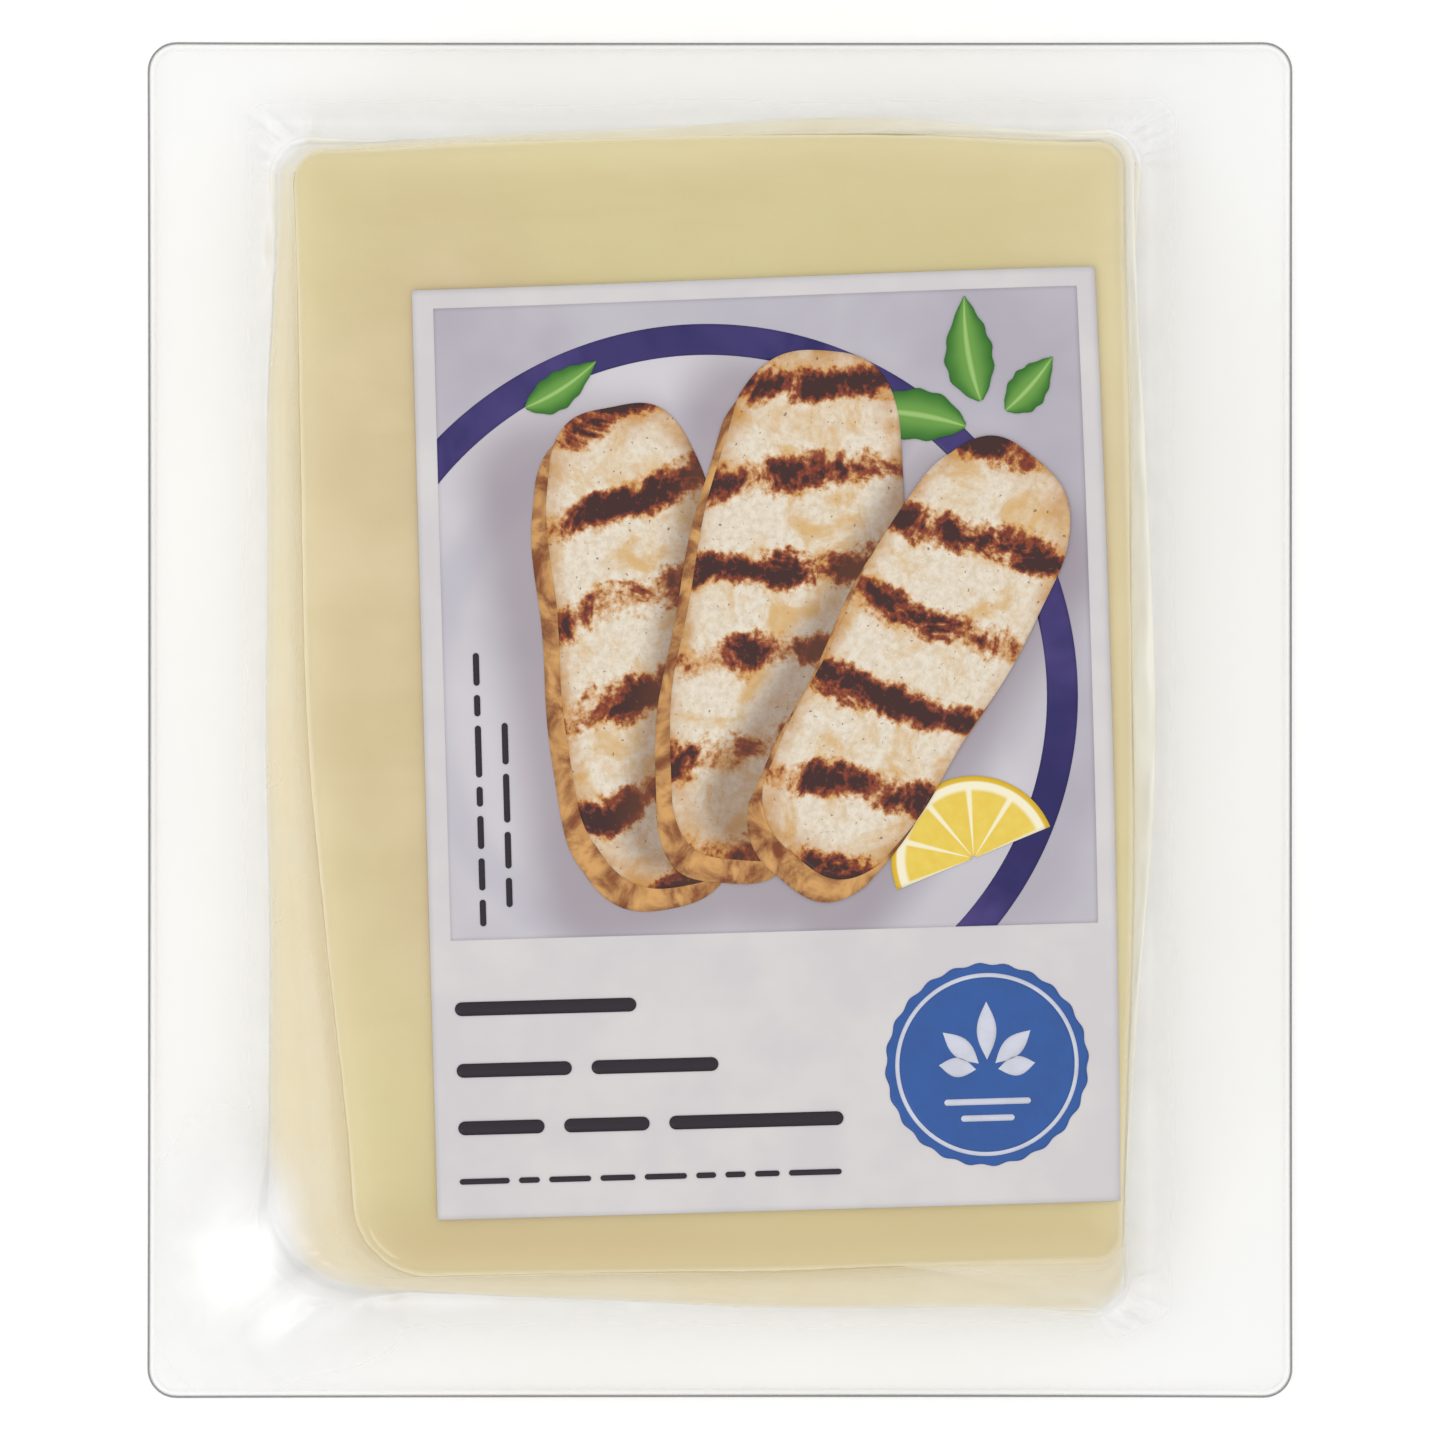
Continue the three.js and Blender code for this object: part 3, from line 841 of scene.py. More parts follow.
# How far off its slice each of these lies: its side, and its shade on the plate and on the slice below.
# A shade has rounded corners and fades out over its spread.
SLICE_SIDE = (-1.5, -2.2)
PLATE_SHADE, PLATE_SHADE_SPREAD = (-2.6, -3.4), 5.5
SLICE_SHADE, SLICE_SHADE_SPREAD = (-1.8, -0.6), 3.0
SHADE_CORNER = 4

# Half a slice of lemon, and how many segments it shows
LEMON = dict(middle=(19.5, -11.5), lean=21, radius=8.0)
LEMON_SEGMENTS = 5.0

# The leaves: where each one's stalk is, its lean in degrees, and how far its midrib bends
LEAVES = [
    dict(base=(20.0, 30.2), lean=160, length=11.5, width=5.0, bend=0.2),
    dict(base=(21.6, 32.6), lean=108, length=10.0, width=4.8, bend=-0.2),
    dict(base=(24.0, 31.6), lean=38, length=6.8, width=3.8, bend=0.15),
    dict(base=(-22.5, 33.5), lean=20, length=8.0, width=3.6, bend=0.2),
]

# Where a leaf's width is taken at its two ends, which are blunt by that much
LEAF_ENDS = (0.01, 0.99)

# The label's rows of plain bars: where each row is, its thickness, and its bars' ends. A small or an upright
# row has its own two ends, and the lengths of small bars say how it is shared out.
HEADLINE_ROWS = [
    (-24.8, 1.35, [(-31.0, -13.4)]),
    (-30.8, 1.35, [(-31.0, -19.8), (-17.9, -5.6)]),
    (-36.4, 1.35, [(-31.0, -22.6), (-20.7, -12.4), (-10.5, 6.4)]),
]
SMALL_ROWS = [(-41.6, 0.55, -31.0, 7.4)]
UPRIGHT_ROWS = [(-28.0, 0.6, -16.8, 9.8), (-25.4, 0.6, -15.0, 4.6)]
SMALL_BARS = dict(shortest=1.8, longest=5.2, gap=0.9, least=1.2, most=40)

# The round seal: its ring, its leaves by lean and length, and its bars by half length and drop
SEAL_CENTRE = (20.4, -31.6)
SEAL_RADIUS = 9.8
RING_INSET, RING_WIDTH = 0.9, 0.4
SCALLOPS, SCALLOP_DEPTH = 24, 0.012
SEAL_LEAVES = [(90, 5.6), (138, 4.6), (42, 4.6), (172, 3.6), (8, 3.6)]
SEAL_LEAF_HALF, SEAL_LEAF_START, SEAL_LEAF_DROP = 0.95, 1.1, 0.6
SEAL_BARS, SEAL_BAR_THICKNESS = [(4.2, 3.6), (2.6, 5.2)], 0.6

# The levels of the print over the paper, where a higher one covers a lower one
GROUND_LEVEL, BAND_LEVEL, SLICE_LEVEL, LEMON_LEVEL, LEAF_LEVEL = 0, 1, 2, 3, 4
WORD_LEVEL, SEAL_LEVELS, SEAL_MARKS_LEVEL = 2, (1, 2, 3), 4


def turned(u, v, middle, lean):
    """Places along and across a shape, turned by its lean and moved to its middle."""
    angle = math.radians(lean)
    s = middle[0] + u * math.cos(angle) - v * math.sin(angle)
    t = middle[1] + u * math.sin(angle) + v * math.cos(angle)
    return s, t


def moved(shape, offset):
    """A shape with its middle moved by an offset."""
    return dict(shape, middle=(shape["middle"][0] + offset[0], shape["middle"][1] + offset[1]))


def square_grid(columns, rows):
    """Even places over a square from -1 to 1 both ways."""
    return np.meshgrid(np.linspace(-1, 1, columns), np.linspace(-1, 1, rows))


def rounded(u, v, half, power):
    """A square grid bent into a superellipse of a power: 2 makes an ellipse and a higher one is squarer.

    Each place keeps its direction, and its distance is that of its square over its superellipse."""
    length = np.maximum((np.abs(u) ** power + np.abs(v) ** power) ** (1 / power), 1e-9)
    share = np.maximum(np.abs(u), np.abs(v)) / length
    return half[0] * u * share, half[1] * v * share


def slice_nearness(s, t, shape, spread):
    """1 inside a slice's footprint, falling to 0 over a spread around it, by a rounded box's distance."""
    angle = math.radians(shape["lean"])
    ds, dt = s - shape["middle"][0], t - shape["middle"][1]
    along = np.abs(ds * math.cos(angle) + dt * math.sin(angle)) - shape["half"][0] + SHADE_CORNER
    across = np.abs(dt * math.cos(angle) - ds * math.sin(angle)) - shape["half"][1] + SHADE_CORNER
    away = np.hypot(np.maximum(along, 0), np.maximum(across, 0)) - SHADE_CORNER
    return 1 - smoothstep(-0.5, spread, away)


def make_picture_ground():
    """The table and the plate: a grid with the plate's share, its well and the shade that the slices cast."""
    s, t = np.meshgrid(np.linspace(PANEL_LEFT, PANEL_RIGHT, 126), np.linspace(PANEL_BOTTOM, PANEL_TOP, 124))
    away = np.hypot(s - PLATE_CENTRE[0], t - PLATE_CENTRE[1])
    plate = 1 - smoothstep(PLATE_RADIUS - 2, PLATE_RADIUS - 1, away)
    well = smoothstep(0, PLATE_WELL_BLUR, np.abs(away - PLATE_WELL * PLATE_RADIUS))
    shade = np.zeros(s.shape)
    for shape in SLICES:
        shade = np.maximum(shade, slice_nearness(s, t, moved(shape, PLATE_SHADE), PLATE_SHADE_SPREAD))
    sheet = Print(GROUND_LEVEL)
    sheet.add(s, t, plate=plate, well=well, shade=shade)
    return sheet.piece("picture_ground")


def make_plate_band():
    """The plate's painted band: an arc whose ends are cut off where the picture ends."""
    radius = np.linspace(PLATE_RADIUS - PLATE_BAND, PLATE_RADIUS, 7)[:, None]
    start = np.arccos((PANEL_LEFT - PLATE_CENTRE[0]) / radius)
    end = np.arcsin((PANEL_BOTTOM - PLATE_CENTRE[1]) / radius)
    angle = start + (end - start) * np.linspace(0, 1, 150)
    sheet = Print(BAND_LEVEL)
    sheet.add(PLATE_CENTRE[0] + radius * np.cos(angle), PLATE_CENTRE[1] + radius * np.sin(angle))
    return sheet.piece("plate_band")


def slice_outline(shape, columns=96, rows=44):
    """A slice's grid: a rounded slab whose edge runs in and out by a few sines of its own."""
    u, v = square_grid(columns, rows)
    along, across = rounded(u, v, shape["half"], SLICE_POWER)
    phase = shape["lean"] / 9
    waist = 1 - 0.07 * np.cos(1.4 * u + phase) + 0.04 * np.sin(3.3 * u + phase)
    waist = waist + 0.015 * np.sin(9 * u + 2 * phase)
    lean = 0.5 * np.sin(2.2 * u + 2 * phase)
    return u, v, along + 0.6 * np.sin(2 * across / shape["half"][1] + phase), across * waist + lean


# How far apart the slices' own maps lie, so that no two have the same sear
SEAR_OFFSET = 100


def make_slice(number, shape, above):
    """A slice's top face, with how near each place is to its edge and the shade from the slice above it."""
    u, v, along, across = slice_outline(shape)
    s, t = turned(along, across, shape["middle"], shape["lean"])
    shade = np.zeros(s.shape)
    if above:
        shade = slice_nearness(s, t, moved(above, SLICE_SHADE), SLICE_SHADE_SPREAD)
    sheet = Print(SLICE_LEVEL + 2 * number + 1)
    offset = SEAR_OFFSET * number
    sheet.add(s, t, uv=(along + offset, across), edge=np.maximum(np.abs(u), np.abs(v)), shade=shade)
    return sheet.piece(f"grilled_slice_{number + 1}")


def make_slice_side(number, shape):
    """The side of a slice, seen below its top face: the same outline moved down and to the left."""
    _, _, along, across = slice_outline(shape, 72, 24)
    s, t = turned(along, across, moved(shape, SLICE_SIDE)["middle"], shape["lean"])
    sheet = Print(SLICE_LEVEL + 2 * number)
    sheet.add(s, t, uv=(along, across))
    return sheet.piece(f"slice_side_{number + 1}")


def make_lemon():
    """A half round of lemon: a fan of places by angle and radius, which are also its pattern's places."""
    angle, radius = np.meshgrid(np.linspace(math.pi, 0, 48), np.linspace(0.03, 1, 18))
    u, v = LEMON["radius"] * radius * np.cos(angle), LEMON["radius"] * radius * np.sin(angle)
    s, t = turned(u, v, LEMON["middle"], LEMON["lean"])
    sheet = Print(LEMON_LEVEL)
    sheet.add(s, t, uv=(angle / math.pi, radius))
    return sheet.piece("lemon_half")


def make_leaves():
    """Pointed leaves: the width follows a sine from stalk to tip, and the midrib bends as a square."""
    sheet = Print(LEAF_LEVEL)
    for leaf in LEAVES:
        along, across = np.meshgrid(np.linspace(0, 1, 34), np.linspace(-1, 1, 9))
        half = leaf["width"] / 2 * np.sin(math.pi * np.clip(along, *LEAF_ENDS) ** 0.8) ** 0.9
        notch = 1 + 0.05 * np.abs(across) * np.sin(along * 30)
        midrib = leaf["length"] * leaf["bend"] * along ** 2
        s, t = turned(leaf["length"] * along, across * half * notch + midrib, leaf["base"], leaf["lean"])
        sheet.add(s, t, uv=(along, across))
    return sheet.piece("herb_leaves")


def add_bar(sheet, start, end, middle, thickness, upright=False):
    """A bar with round ends: its half width follows a circle at each end."""
    reach = thickness / 2
    ends = reach * (1 - np.cos(np.linspace(0, math.pi / 2, 6)))
    along = np.concatenate([start + ends, (end - ends)[::-1]])
    inner = np.clip(np.abs(along - (start + end) / 2) - (end - start) / 2 + reach, 0, reach)
    half = np.sqrt(np.maximum(reach ** 2 - inner ** 2, 1e-4))
    across = np.linspace(-1, 1, 3)[:, None] * half
    along = along + np.zeros_like(across)
    if upright:
        sheet.add(middle - across, along)
    else:
        sheet.add(along, middle + across)


def split_row(start, end, draw):
    """The ends of short bars of seeded lengths that share out a row, with a small gap after each."""
    gap = SMALL_BARS["gap"]
    lengths = draw.uniform(SMALL_BARS["shortest"], SMALL_BARS["longest"], SMALL_BARS["most"])
    stops = start + np.cumsum(lengths + gap)
    count = int(np.searchsorted(stops, end))
    starts = np.append(start, stops[:count])
    ends = np.append(stops[:count] - gap, end)
    return [(a, b) for a, b in zip(starts, ends) if b - a > SMALL_BARS["least"]]


def make_word_bars():
    """The label's rows of plain bars: the headline's, the small ones and the two upright ones."""
    draw = np.random.default_rng(SEED + 4)
    sheet = Print(WORD_LEVEL)
    for middle, thickness, bars in HEADLINE_ROWS:
        for start, end in bars:
            add_bar(sheet, start, end, middle, thickness)
    for middle, thickness, start, end in SMALL_ROWS:
        for bar in split_row(start, end, draw):
            add_bar(sheet, *bar, middle, thickness)
    for middle, thickness, start, end in UPRIGHT_ROWS:
        for bar in split_row(start, end, draw):
            add_bar(sheet, *bar, middle, thickness, upright=True)
    return sheet.piece("word_bars")


def make_disc(name, radius, level, scallop=0.0):
    """A round of the seal: a square grid bent into a disc, its edge scalloped by a sine of the angle."""
    u, v = square_grid(61, 61)
    along, across = rounded(u, v, (radius, radius), 2)
    near_rim = np.maximum(np.abs(u), np.abs(v)) ** 8
    wave = 1 + scallop * near_rim * np.sin(SCALLOPS * np.arctan2(across, along))
    sheet = Print(level)
    sheet.add(SEAL_CENTRE[0] + along * wave, SEAL_CENTRE[1] + across * wave)
    return sheet.piece(name)


def make_seal_marks():
    """The seal's plain marks: a sprig of five leaves over two short bars."""
    sheet = Print(SEAL_MARKS_LEVEL)
    stalk = (SEAL_CENTRE[0], SEAL_CENTRE[1] - SEAL_LEAF_DROP)
    for lean, length in SEAL_LEAVES:
        along, across = np.meshgrid(np.linspace(0, 1, 20), np.linspace(-1, 1, 5))
        half = SEAL_LEAF_HALF * np.sin(math.pi * np.clip(along, *LEAF_ENDS))
        sheet.add(*turned(SEAL_LEAF_START + length * along, across * half, stalk, lean))
    for half, drop in SEAL_BARS:
        start, end = SEAL_CENTRE[0] - half, SEAL_CENTRE[0] + half
        add_bar(sheet, start, end, SEAL_CENTRE[1] - drop, SEAL_BAR_THICKNESS)
    return sheet.piece("seal_marks")


# Materials

# The sockets of a Mix node that mixes colours: the share, the two colours, and the result
MIX_SHARE, MIX_FIRST, MIX_SECOND, MIX_RESULT = 0, 6, 7, 2


class Finish:
    """A material's node tree, with short ways to add its nodes."""

    def __init__(self, name):
        self.material = bpy.data.materials.new(name)
        self.material.use_nodes = True
        self.tree = self.material.node_tree
        self.tree.nodes.clear()
        self.output = self.tree.nodes.new("ShaderNodeOutputMaterial")

    def node(self, kind, inputs=None, **settings):
        """Adds a node of a kind, with its settings and with values or links for its inputs."""
        made = self.tree.nodes.new(f"ShaderNode{kind}")
        for key, value in settings.items():
            setattr(made, key, value)
        for key, value in (inputs or {}).items():
            self.feed(made.inputs[key], value)
        return made

    def feed(self, socket, value):
        """Links another node's output to a socket, or sets the socket's own value."""
        if isinstance(value, bpy.types.NodeSocket):
            self.tree.links.new(value, socket)
        elif isinstance(value, bpy.types.Node):
            self.tree.links.new(value.outputs[0], socket)
        else:
            socket.default_value = value

    def place(self, uv=False, scale=None):
        """Places in the object's own metres, or on its own map, stretched where a scale is given."""
        source = self.node("TexCoord").outputs["UV" if uv else "Object"]
        if scale is None:
            return source
        return self.node("Mapping", {"Vector": source, "Scale": scale}).outputs["Vector"]

    def noise(self, place, scale, detail=3.0, roughness=0.5, distortion=0.0):
        """Cloudy noise, as a number from 0 to 1."""
        inputs = {"Vector": place, "Scale": scale, "Detail": detail}
        inputs.update({"Roughness": roughness, "Distortion": distortion})
        return self.node("TexNoise", inputs).outputs["Fac"]

    def between(self, value, low, high, start=0.0, end=1.0):
        """A value's share of the way from low to high, eased, as a number from start to end."""
        inputs = {"Value": value, "From Min": low, "From Max": high, "To Min": start, "To Max": end}
        return self.node("MapRange", inputs, interpolation_type="SMOOTHSTEP").outputs["Result"]

    def maths(self, operation, first, second=0.0):
        """An operation on one or two numbers."""
        return self.node("Math", {0: first, 1: second}, operation=operation).outputs[0]

    def times(self, first, second):
        """Two numbers multiplied."""
        return self.maths("MULTIPLY", first, second)

    def blend(self, share, first, second, way="MIX"):
        """A share of the way from one colour to another, or the second put on the first another way."""
        made = self.node("Mix", data_type="RGBA", blend_type=way)
        self.feed(made.inputs[MIX_SHARE], share)
        self.feed(made.inputs[MIX_FIRST], first)
        self.feed(made.inputs[MIX_SECOND], second)
        return made.outputs[MIX_RESULT]

    def mark(self, name):
        """A number that the mesh keeps for each of its points."""
        return self.node("Attribute", attribute_name=name).outputs["Fac"]

    def bump(self, height, strength, distance):
        """A normal that leans as a height does."""
        inputs = {"Height": height, "Strength": strength, "Distance": distance}
        return self.node("Bump", inputs).outputs["Normal"]

    def surface(self, **inputs):
        """The usual shader, given by its sockets' names with underscores for spaces."""
        named = {key.replace("_", " "): value for key, value in inputs.items()}
        return self.node("BsdfPrincipled", named)

    def done(self, shader):
        """Gives the material its shader and hands it over."""
        self.feed(self.output.inputs["Surface"], shader)
        return self.material


def colour(red, green, blue):
    """A colour as a screen shows it, 0 to 255, turned into the light that it stands for."""
    share = np.array([red, green, blue]) / 255
    light = np.where(share <= 0.04045, share / 12.92, ((share + 0.055) / 1.055) ** 2.4)
    return (*light.tolist(), 1.0)


# The light that falls on the label and, through the film, on the cheese, and the gloss that adds to each
LABEL_LIGHT, LABEL_GLOSS = 1.1, 0.028
CHEESE_LIGHT, CHEESE_GLOSS = 1.035, 0.04

# No paint is darker than this share of the light that falls on it
DARKEST_PAINT = 0.004


def seen(red, green, blue, light=LABEL_LIGHT, gloss=LABEL_GLOSS):
    """The paint that this studio's light shows as a screen colour.

    It is the colour's own light less the gloss, over the light that falls on the paint."""
    shown = np.array(colour(red, green, blue)[:3])
    return (*np.clip((shown - gloss) / light, DARKEST_PAINT, 1).tolist(), 1.0)


def curd(red, green, blue):
    """The paint that shows as a screen colour under the film."""
    return seen(red, green, blue, CHEESE_LIGHT, CHEESE_GLOSS)


# Where along the pack the curd darkens towards its low end, in metres, as painted shade, and the paler paint
# of its walls and edges, which is painted light
PAINTED_SHADE_LOW_END = (-0.053, -0.044)
PAINTED_LIGHT_CURD = (0.95, 0.85, 0.54, 1)


def curd_finish():
    """Moist pale curd: close yellows in clouds and faint streaks, with painted shade darkening the low end
    and painted light paling the walls and edges.
    """
    f = Finish("halloumi_curd")
    place = f.place()
    clouds = f.between(f.noise(place, 55, 3, 0.55), 0.35, 0.68)
    streaks = f.between(f.noise(f.place(scale=(40, 160, 160)), 1.0, 3, 0.6), 0.42, 0.72)
    drift = f.between(f.noise(place, 24, 1), 0.36, 0.64)
    base = f.blend(clouds, curd(207, 188, 147), curd(216, 198, 159))
    base = f.blend(f.times(drift, 0.65), base, curd(210, 199, 144))
    base = f.blend(f.times(streaks, 0.35), base, curd(201, 182, 135))
    height_on_pack = f.node("SeparateXYZ", {"Vector": place}).outputs["Y"]
    # Painted shade: the paint darkens towards the pack's low end, which lies away from the light from the
    # upper left
    painted_shade_low_end = f.between(height_on_pack, *PAINTED_SHADE_LOW_END, 0.9, 0.0)
    base = f.blend(painted_shade_low_end, base, curd(196, 175, 127))
    # Painted light: the pale mark lightens the paint of the walls, the low slab and the top edge
    base = f.blend(f.times(f.mark("pale"), 0.8), base, PAINTED_LIGHT_CURD)
    return f.done(f.surface(
        Base_Color=base,
        Roughness=0.45,
        Normal=f.bump(f.noise(place, 460, 3, 0.7), 0.25, 0.0003),
        IOR=1.42,
    ))


# Along the rim, in millimetres from it: a grey line of painted shade, for the bead's darker refraction, that
# fades out, and a pale band of painted highlight that fades in and out
RIM_SHADE_FADES = (0.14, 0.36)
RIM_HIGHLIGHT_APPEARS, RIM_HIGHLIGHT_FADES = (0.2, 0.4), (0.5, 0.95)

# The film's tint where it is clear, and its milk on the margin and over the slab
CLEAR_TINT = (0.988, 0.988, 0.986, 1.0)
MARGIN_MILK, SLAB_MILK = (250, 250, 250), (250, 246, 228)
# The rim's grey is painted shade, standing for the darker refraction of the film's bead
RIM_SHADE_GREY = (112, 112, 113)


def film_finish():
    """Clear glossy film: it lets light through, mirrors more at a slant, is hazy white where it is stretched
    over the walls and round their foot, with painted light and glare in that haze, and has a grey line of
    painted shade and a pale band of painted highlight along its rim."""
    f = Finish("clear_film")
    place = f.place()
    slant = f.node("LayerWeight", {"Blend": 0.5}).outputs["Facing"]
    mirror = f.between(f.maths("POWER", slant, 4.0), 0.0, 1.0, 0.05, 0.3)
    wrinkle = f.bump(f.noise(place, 260, 2), 0.1, 0.0004)
    clear = f.node("BsdfTransparent", {"Color": CLEAR_TINT})
    gloss = f.node("BsdfGlossy", {"Color": (1, 1, 1, 1), "Roughness": 0.1, "Normal": wrinkle})
    sheet = f.node("MixShader", {0: mirror, 1: clear, 2: gloss})
    rim = f.mark("rim")
    # Painted shade: a grey line along the rim for the bead's refraction; painted highlight: a pale band just
    # inside it
    line = f.between(rim, *RIM_SHADE_FADES, 1.0, 0.0)
    pale = f.times(f.between(rim, *RIM_HIGHLIGHT_APPEARS), f.between(rim, *RIM_HIGHLIGHT_FADES, 1.0, 0.0))
    patches = f.between(f.noise(place, 75, 2, 0.6), 0.3, 0.7, 0.42, 0.58)
    veil = f.times(f.mark("haze"), patches)
    veil = f.maths("MAXIMUM", veil, f.times(line, 0.62))
    veil = f.maths("MAXIMUM", veil, f.times(pale, 0.6))
    milky = f.blend(f.mark("cover"), colour(*MARGIN_MILK), colour(*SLAB_MILK))
    haze = f.surface(
        Base_Color=f.blend(line, milky, colour(*RIM_SHADE_GREY)),
        Roughness=0.35,
        Normal=wrinkle,
    )
    return f.done(f.node("MixShader", {0: veil, 1: sheet, 2: haze}))


def paper_finish():
    """Satin white paper: a faint mottle and fine fibres."""
    f = Finish("label_paper")
    place = f.place()
    mottle = f.between(f.noise(place, 130, 3), 0.35, 0.7)
    fibres = f.noise(f.place(scale=(1400, 300, 1400)), 1.0, 3, 0.6, 0.5)
    base = f.blend(mottle, seen(209, 205, 207), seen(216, 212, 211))
    return f.done(f.surface(Base_Color=base, Roughness=0.42, Normal=f.bump(fibres, 0.12, 0.00008)))


INK_ROUGHNESS = 0.4


def ink(name, base):
    """Printed ink on paper: a colour with a faint mottle, as a satin coat."""
    f = Finish(name)
    mottle = f.between(f.noise(f.place(), 420, 3, 0.6), 0.3, 0.7, 0.94, 1.05)
    grey = f.node("CombineColor", {0: mottle, 1: mottle, 2: mottle}).outputs[0]
    return f.done(f.surface(Base_Color=f.blend(1.0, base, grey, "MULTIPLY"), Roughness=INK_ROUGHNESS))


def picture_ground_finish():
    """The picture's table and plate: cool lilac greys, a pale well and soft shade."""
    f = Finish("ink_table_and_plate")
    place = f.place()
    clouds = f.between(f.noise(place, 48, 3, 0.5, 0.5), 0.3, 0.7)
    table = f.blend(clouds, seen(178, 173, 183), seen(195, 191, 199))
    plate = f.blend(clouds, seen(196, 192, 199), seen(209, 205, 210))
    plate = f.blend(f.between(f.mark("well"), 0, 1, 0.4, 0.0), plate, seen(182, 178, 191))
    base = f.blend(f.mark("plate"), table, plate)
    shade = f.times(f.mark("shade"), 0.62)
    return f.done(f.surface(Base_Color=f.blend(shade, base, seen(146, 132, 142)), Roughness=INK_ROUGHNESS))


def plate_band_finish():
    """Navy glaze with slow lighter and darker runs."""
    f = Finish("ink_navy_band")
    runs = f.between(f.noise(f.place(), 85, 3, 0.5, 0.8), 0.3, 0.7)
    navy = f.blend(runs, seen(54, 47, 98), seen(80, 70, 124))
    return f.done(f.surface(Base_Color=navy, Roughness=INK_ROUGHNESS))


# The bars of sear across a slice: their slant in degrees, and the wave that they follow
SEAR_SLANT = -16
SEAR_WAVE = {"Scale": 0.036, "Distortion": 3.4, "Detail": 5.0, "Detail Scale": 1.1, "Detail Roughness": 0.72}

# How the sear's level turns to paint: where each tone starts and is full, how strong it is, and its colour
SEAR_TONES = [
    (0.46, 0.70, 0.85, (204, 142, 66)),
    (0.60, 0.78, 0.95, (134, 62, 32)),
    (0.76, 0.92, 0.92, (62, 34, 36)),
]


def slice_finish():
    """A grilled slice: cream curd with golden patches, and ragged slanting bars of sear, from amber at their
    edges through brown to charred hearts."""
    f = Finish("ink_grilled_slice")
    place = f.place(uv=True)
    gold = f.between(f.noise(place, 0.2, 5, 0.62, 0.8), 0.45, 0.7)
    fine = f.noise(place, 1.4, 4, 0.65)
    base = f.blend(f.between(fine, 0.35, 0.7), seen(232, 222, 205), seen(216, 201, 178))
    base = f.blend(f.times(gold, 0.8), base, seen(212, 168, 98))
    uneven = f.between(f.noise(place, 0.3, 3), 0.3, 0.7, 0.2, 0.9)
    edge = f.times(f.between(f.mark("edge"), 0.8, 1.0), uneven)
    base = f.blend(edge, base, seen(192, 138, 72))
    slanted = f.node("Mapping", {"Vector": place, "Rotation": (0, 0, math.radians(SEAR_SLANT))})
    wave = {"Vector": slanted.outputs["Vector"], **SEAR_WAVE}
    bars = f.node("TexWave", wave, wave_type="BANDS", bands_direction="X").outputs["Fac"]
    strength = f.between(f.noise(place, 0.12, 4, 0.65, 1.0), 0.36, 0.62)
    level = f.maths("ADD", bars, f.times(f.maths("SUBTRACT", fine, 0.5), 0.75))
    level = f.times(level, f.maths("ADD", f.times(strength, 0.42), 0.62))
    for starts, full, most, tone in SEAR_TONES:
        base = f.blend(f.between(level, starts, full, 0.0, most), base, seen(*tone))
    crumbs = f.between(f.noise(place, 1.9, 2, 0.5), 0.66, 0.74)
    base = f.blend(f.times(crumbs, 0.7), base, seen(120, 76, 48))
    base = f.blend(f.times(f.mark("shade"), 0.6), base, seen(104, 66, 46))
    relief = f.bump(f.maths("ADD", fine, f.times(level, -0.8)), 0.3, 0.0002)
    return f.done(f.surface(Base_Color=base, Roughness=0.36, Normal=relief))


def slice_side_finish():
    """The slices' sides: toasted gold that darkens to brown in patches."""
    f = Finish("ink_slice_side")
    place = f.place(uv=True)
    toast = f.between(f.noise(place, 0.3, 4, 0.6, 0.5), 0.35, 0.66)
    side = f.blend(toast, seen(214, 164, 104), seen(128, 74, 38))
    return f.done(f.surface(Base_Color=side, Roughness=INK_ROUGHNESS))


def lemon_finish():
    """A lemon's rind, pith and juicy segments, from its own map of angle and radius."""
    f = Finish("ink_lemon")
    angle, radius, _ = f.node("SeparateXYZ", {"Vector": f.place(uv=True)}).outputs
    part = f.maths("FRACT", f.times(angle, LEMON_SEGMENTS))
    wall = f.between(f.maths("ABSOLUTE", f.maths("SUBTRACT", part, 0.5)), 0.40, 0.47)
    juice = f.blend(f.noise(f.place(), 900, 3), seen(238, 214, 110), seen(226, 190, 70))
    flesh = f.blend(wall, juice, seen(244, 236, 200))
    pith = f.between(radius, 0.80, 0.86)
    rind = f.between(radius, 0.92, 0.95)
    base = f.blend(rind, f.blend(pith, flesh, seen(244, 236, 206)), seen(222, 184, 58))
    return f.done(f.surface(Base_Color=base, Roughness=0.38))


def leaf_finish():
    """Fresh green leaves, paler along the midrib and darker towards the edge."""
    f = Finish("ink_leaf")
    along, across, _ = f.node("SeparateXYZ", {"Vector": f.place(uv=True)}).outputs
    off_rib = f.maths("ABSOLUTE", across)
    tone = f.blend(f.between(off_rib, 0.1, 1.0), seen(112, 160, 78), seen(62, 116, 52))
    rib = f.between(off_rib, 0.03, 0.16, 0.8, 0.0)
    leaf = f.blend(rib, tone, seen(166, 200, 124))
    return f.done(f.surface(Base_Color=leaf, Roughness=INK_ROUGHNESS))


def floor_finish():
    """A plain white studio floor."""
    f = Finish("studio_floor")
    grain = f.between(f.noise(f.place(), 30, 3), 0.3, 0.7)
    white = f.blend(grain, colour(249, 249, 249), colour(251, 251, 251))
    return f.done(f.surface(Base_Color=white, Roughness=0.8))


# Studio

# The camera's height in metres, and the widths of the photograph and of the pack in it, in pixels
CAMERA_HEIGHT = 1.1
PHOTO_WIDTH = 1440
PACK_WIDTH_IN_PHOTO = 1143
SENSOR = 36.0

# The floor's half width in metres, and how strong the light from all round is
FLOOR_HALF = 3.0
SURROUND_STRENGTH = 0.8

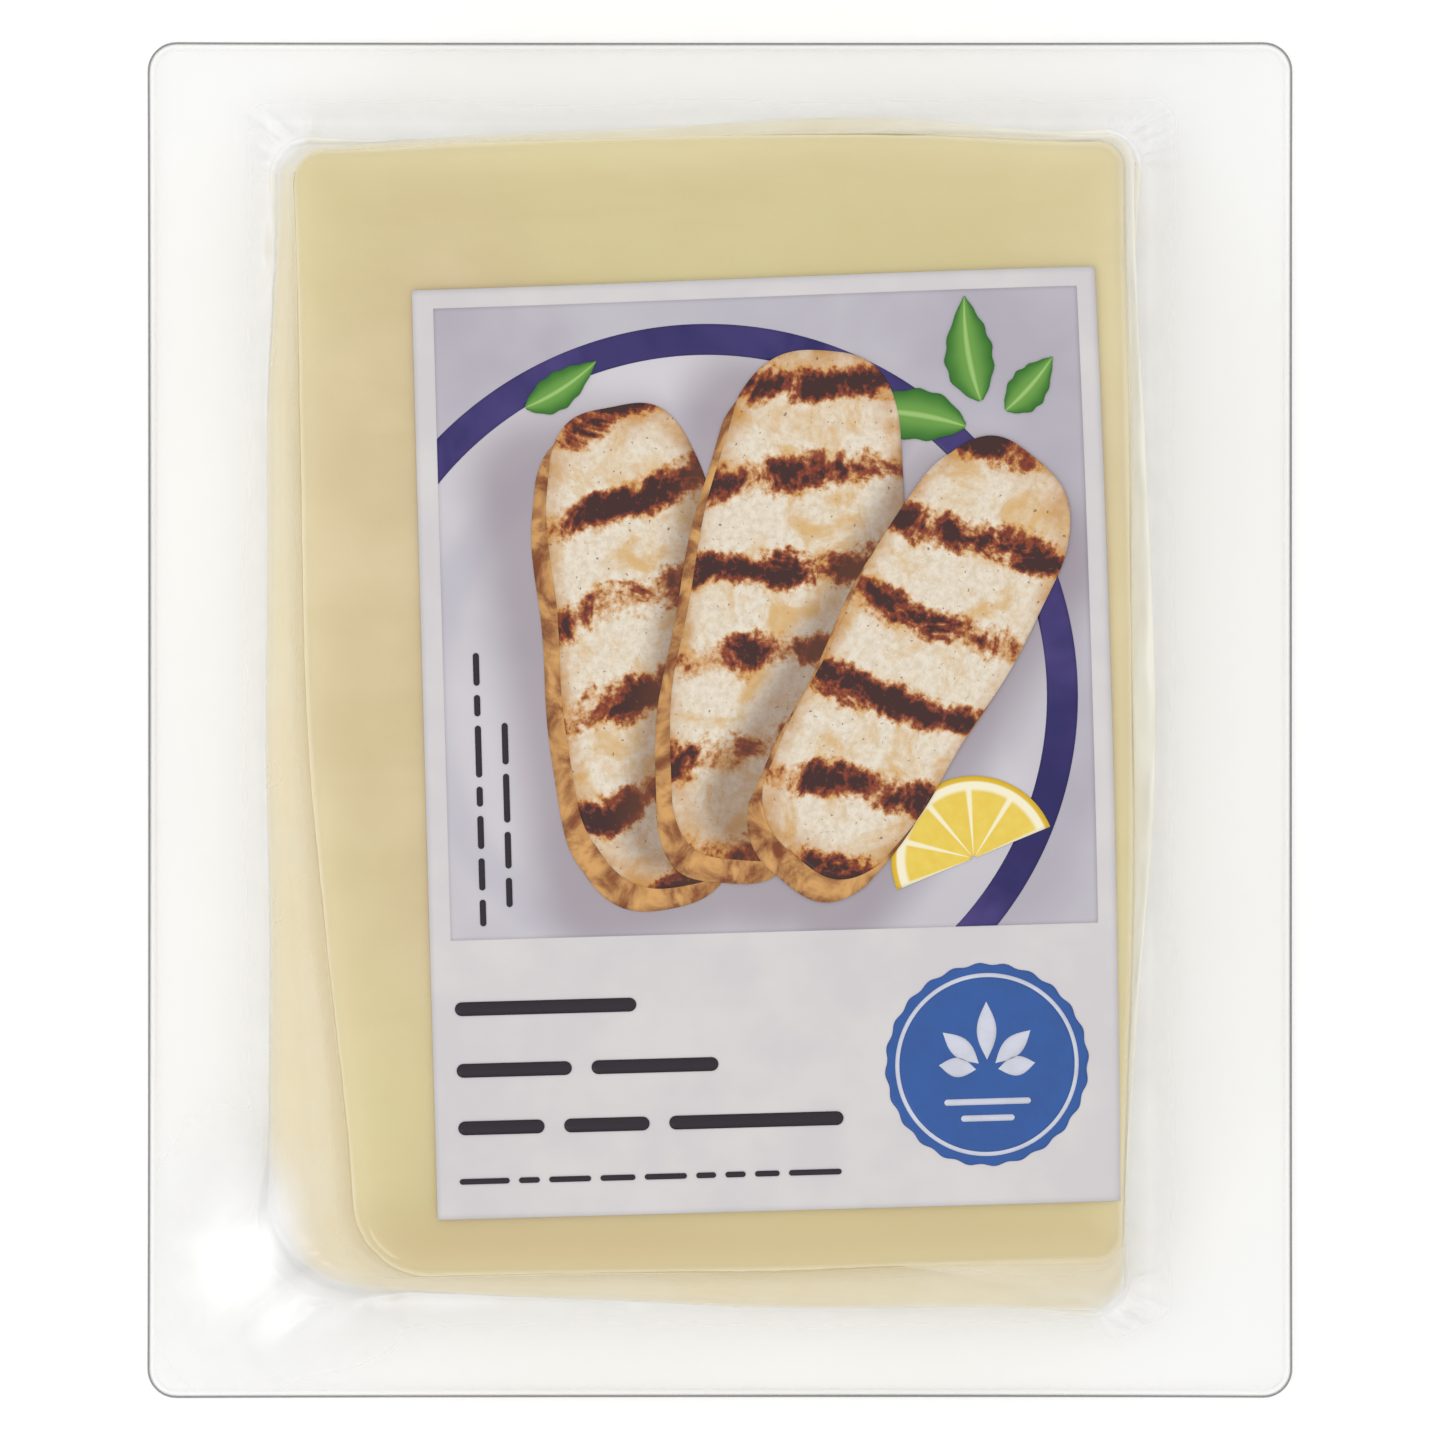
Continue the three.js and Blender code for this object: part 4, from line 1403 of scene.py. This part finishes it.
# The soft lights: place and size in metres, power in watts, and whether glossy things mirror them
SOFTBOXES = {
    "overhead": ((0, 0, 1.6), (0.45, 0.45), 7.3, False),
    "upper_left": ((-0.9, 0.75, 0.9), (0.9, 0.9), 1.0, False),
    "lower_left": ((-0.55, -0.6, 0.9), (0.35, 0.5), 0.9, True),
}


def make_camera():
    """A camera straight above the pack, whose frame is as much wider than the pack as the photograph's."""
    data = bpy.data.cameras.new("camera")
    width = 2 * PACK_HALF[0] * MM * PHOTO_WIDTH / PACK_WIDTH_IN_PHOTO
    data.sensor_width = SENSOR
    data.lens = SENSOR * CAMERA_HEIGHT / width
    camera = bpy.data.objects.new("camera", data)
    camera.location = (0, 0, CAMERA_HEIGHT)
    bpy.context.scene.collection.objects.link(camera)
    bpy.context.scene.camera = camera


def make_softbox(name, place, size, power, seen_in_gloss):
    """A flat soft light that faces the pack: it leans as its place's direction does."""
    data = bpy.data.lights.new(name, "AREA")
    data.shape = "RECTANGLE"
    data.size, data.size_y = size
    data.energy = power
    light = bpy.data.objects.new(name, data)
    light.location = place
    x, y, z = place
    light.rotation_euler = (math.atan2(math.hypot(x, y), z), 0, math.atan2(y, x) + math.pi / 2)
    light.visible_glossy = seen_in_gloss
    light.visible_camera = False
    bpy.context.scene.collection.objects.link(light)


def make_studio():
    """A white floor, a white surround and soft lights."""
    mesh = bpy.data.meshes.new("floor")
    corners = [(x * FLOOR_HALF, y * FLOOR_HALF, 0) for x, y in ((-1, -1), (1, -1), (1, 1), (-1, 1))]
    mesh.from_pydata(corners, [], [(0, 1, 2, 3)])
    floor = bpy.data.objects.new("floor", mesh)
    mesh.materials.append(floor_finish())
    bpy.context.scene.collection.objects.link(floor)
    world = bpy.data.worlds.new("surround")
    world.use_nodes = True
    background = world.node_tree.nodes["Background"]
    background.inputs["Color"].default_value = (1, 1, 1, 1)
    background.inputs["Strength"].default_value = SURROUND_STRENGTH
    bpy.context.scene.world = world
    bpy.context.scene.view_settings.view_transform = "Standard"
    for name, settings in SOFTBOXES.items():
        make_softbox(name, *settings)


def make_label_print():
    """All that is printed on the label, each piece with its own ink."""
    finish_piece(make_picture_ground(), picture_ground_finish(), "label")
    finish_piece(make_plate_band(), plate_band_finish(), "label")
    grilled, sides = slice_finish(), slice_side_finish()
    for number, shape in enumerate(SLICES):
        above = SLICES[number + 1] if number + 1 < len(SLICES) else None
        finish_piece(make_slice_side(number, shape), sides, "label")
        finish_piece(make_slice(number, shape, above), grilled, "label")
    finish_piece(make_lemon(), lemon_finish(), "label")
    finish_piece(make_leaves(), leaf_finish(), "label")
    finish_piece(make_word_bars(), ink("ink_words", seen(56, 52, 58)), "label")
    blue = ink("ink_seal_blue", seen(62, 95, 158))
    white = ink("ink_seal_white", seen(205, 208, 220))
    ring = SEAL_RADIUS - RING_INSET
    finish_piece(make_disc("seal_round", SEAL_RADIUS, SEAL_LEVELS[0], SCALLOP_DEPTH), blue, "label")
    finish_piece(make_disc("seal_ring", ring, SEAL_LEVELS[1]), white, "label")
    finish_piece(make_disc("seal_face", ring - RING_WIDTH, SEAL_LEVELS[2]), blue, "label")
    finish_piece(make_seal_marks(), white, "label")


def main():
    """The studio, then the pack from the inside out."""
    make_camera()
    make_studio()
    finish_piece(make_cheese(), curd_finish(), "cheese", "halloumi_block")
    finish_piece(make_film(), film_finish(), "film", "film_margin")
    finish_piece(make_label(), paper_finish(), "label", "front_label")
    make_label_print()


main()
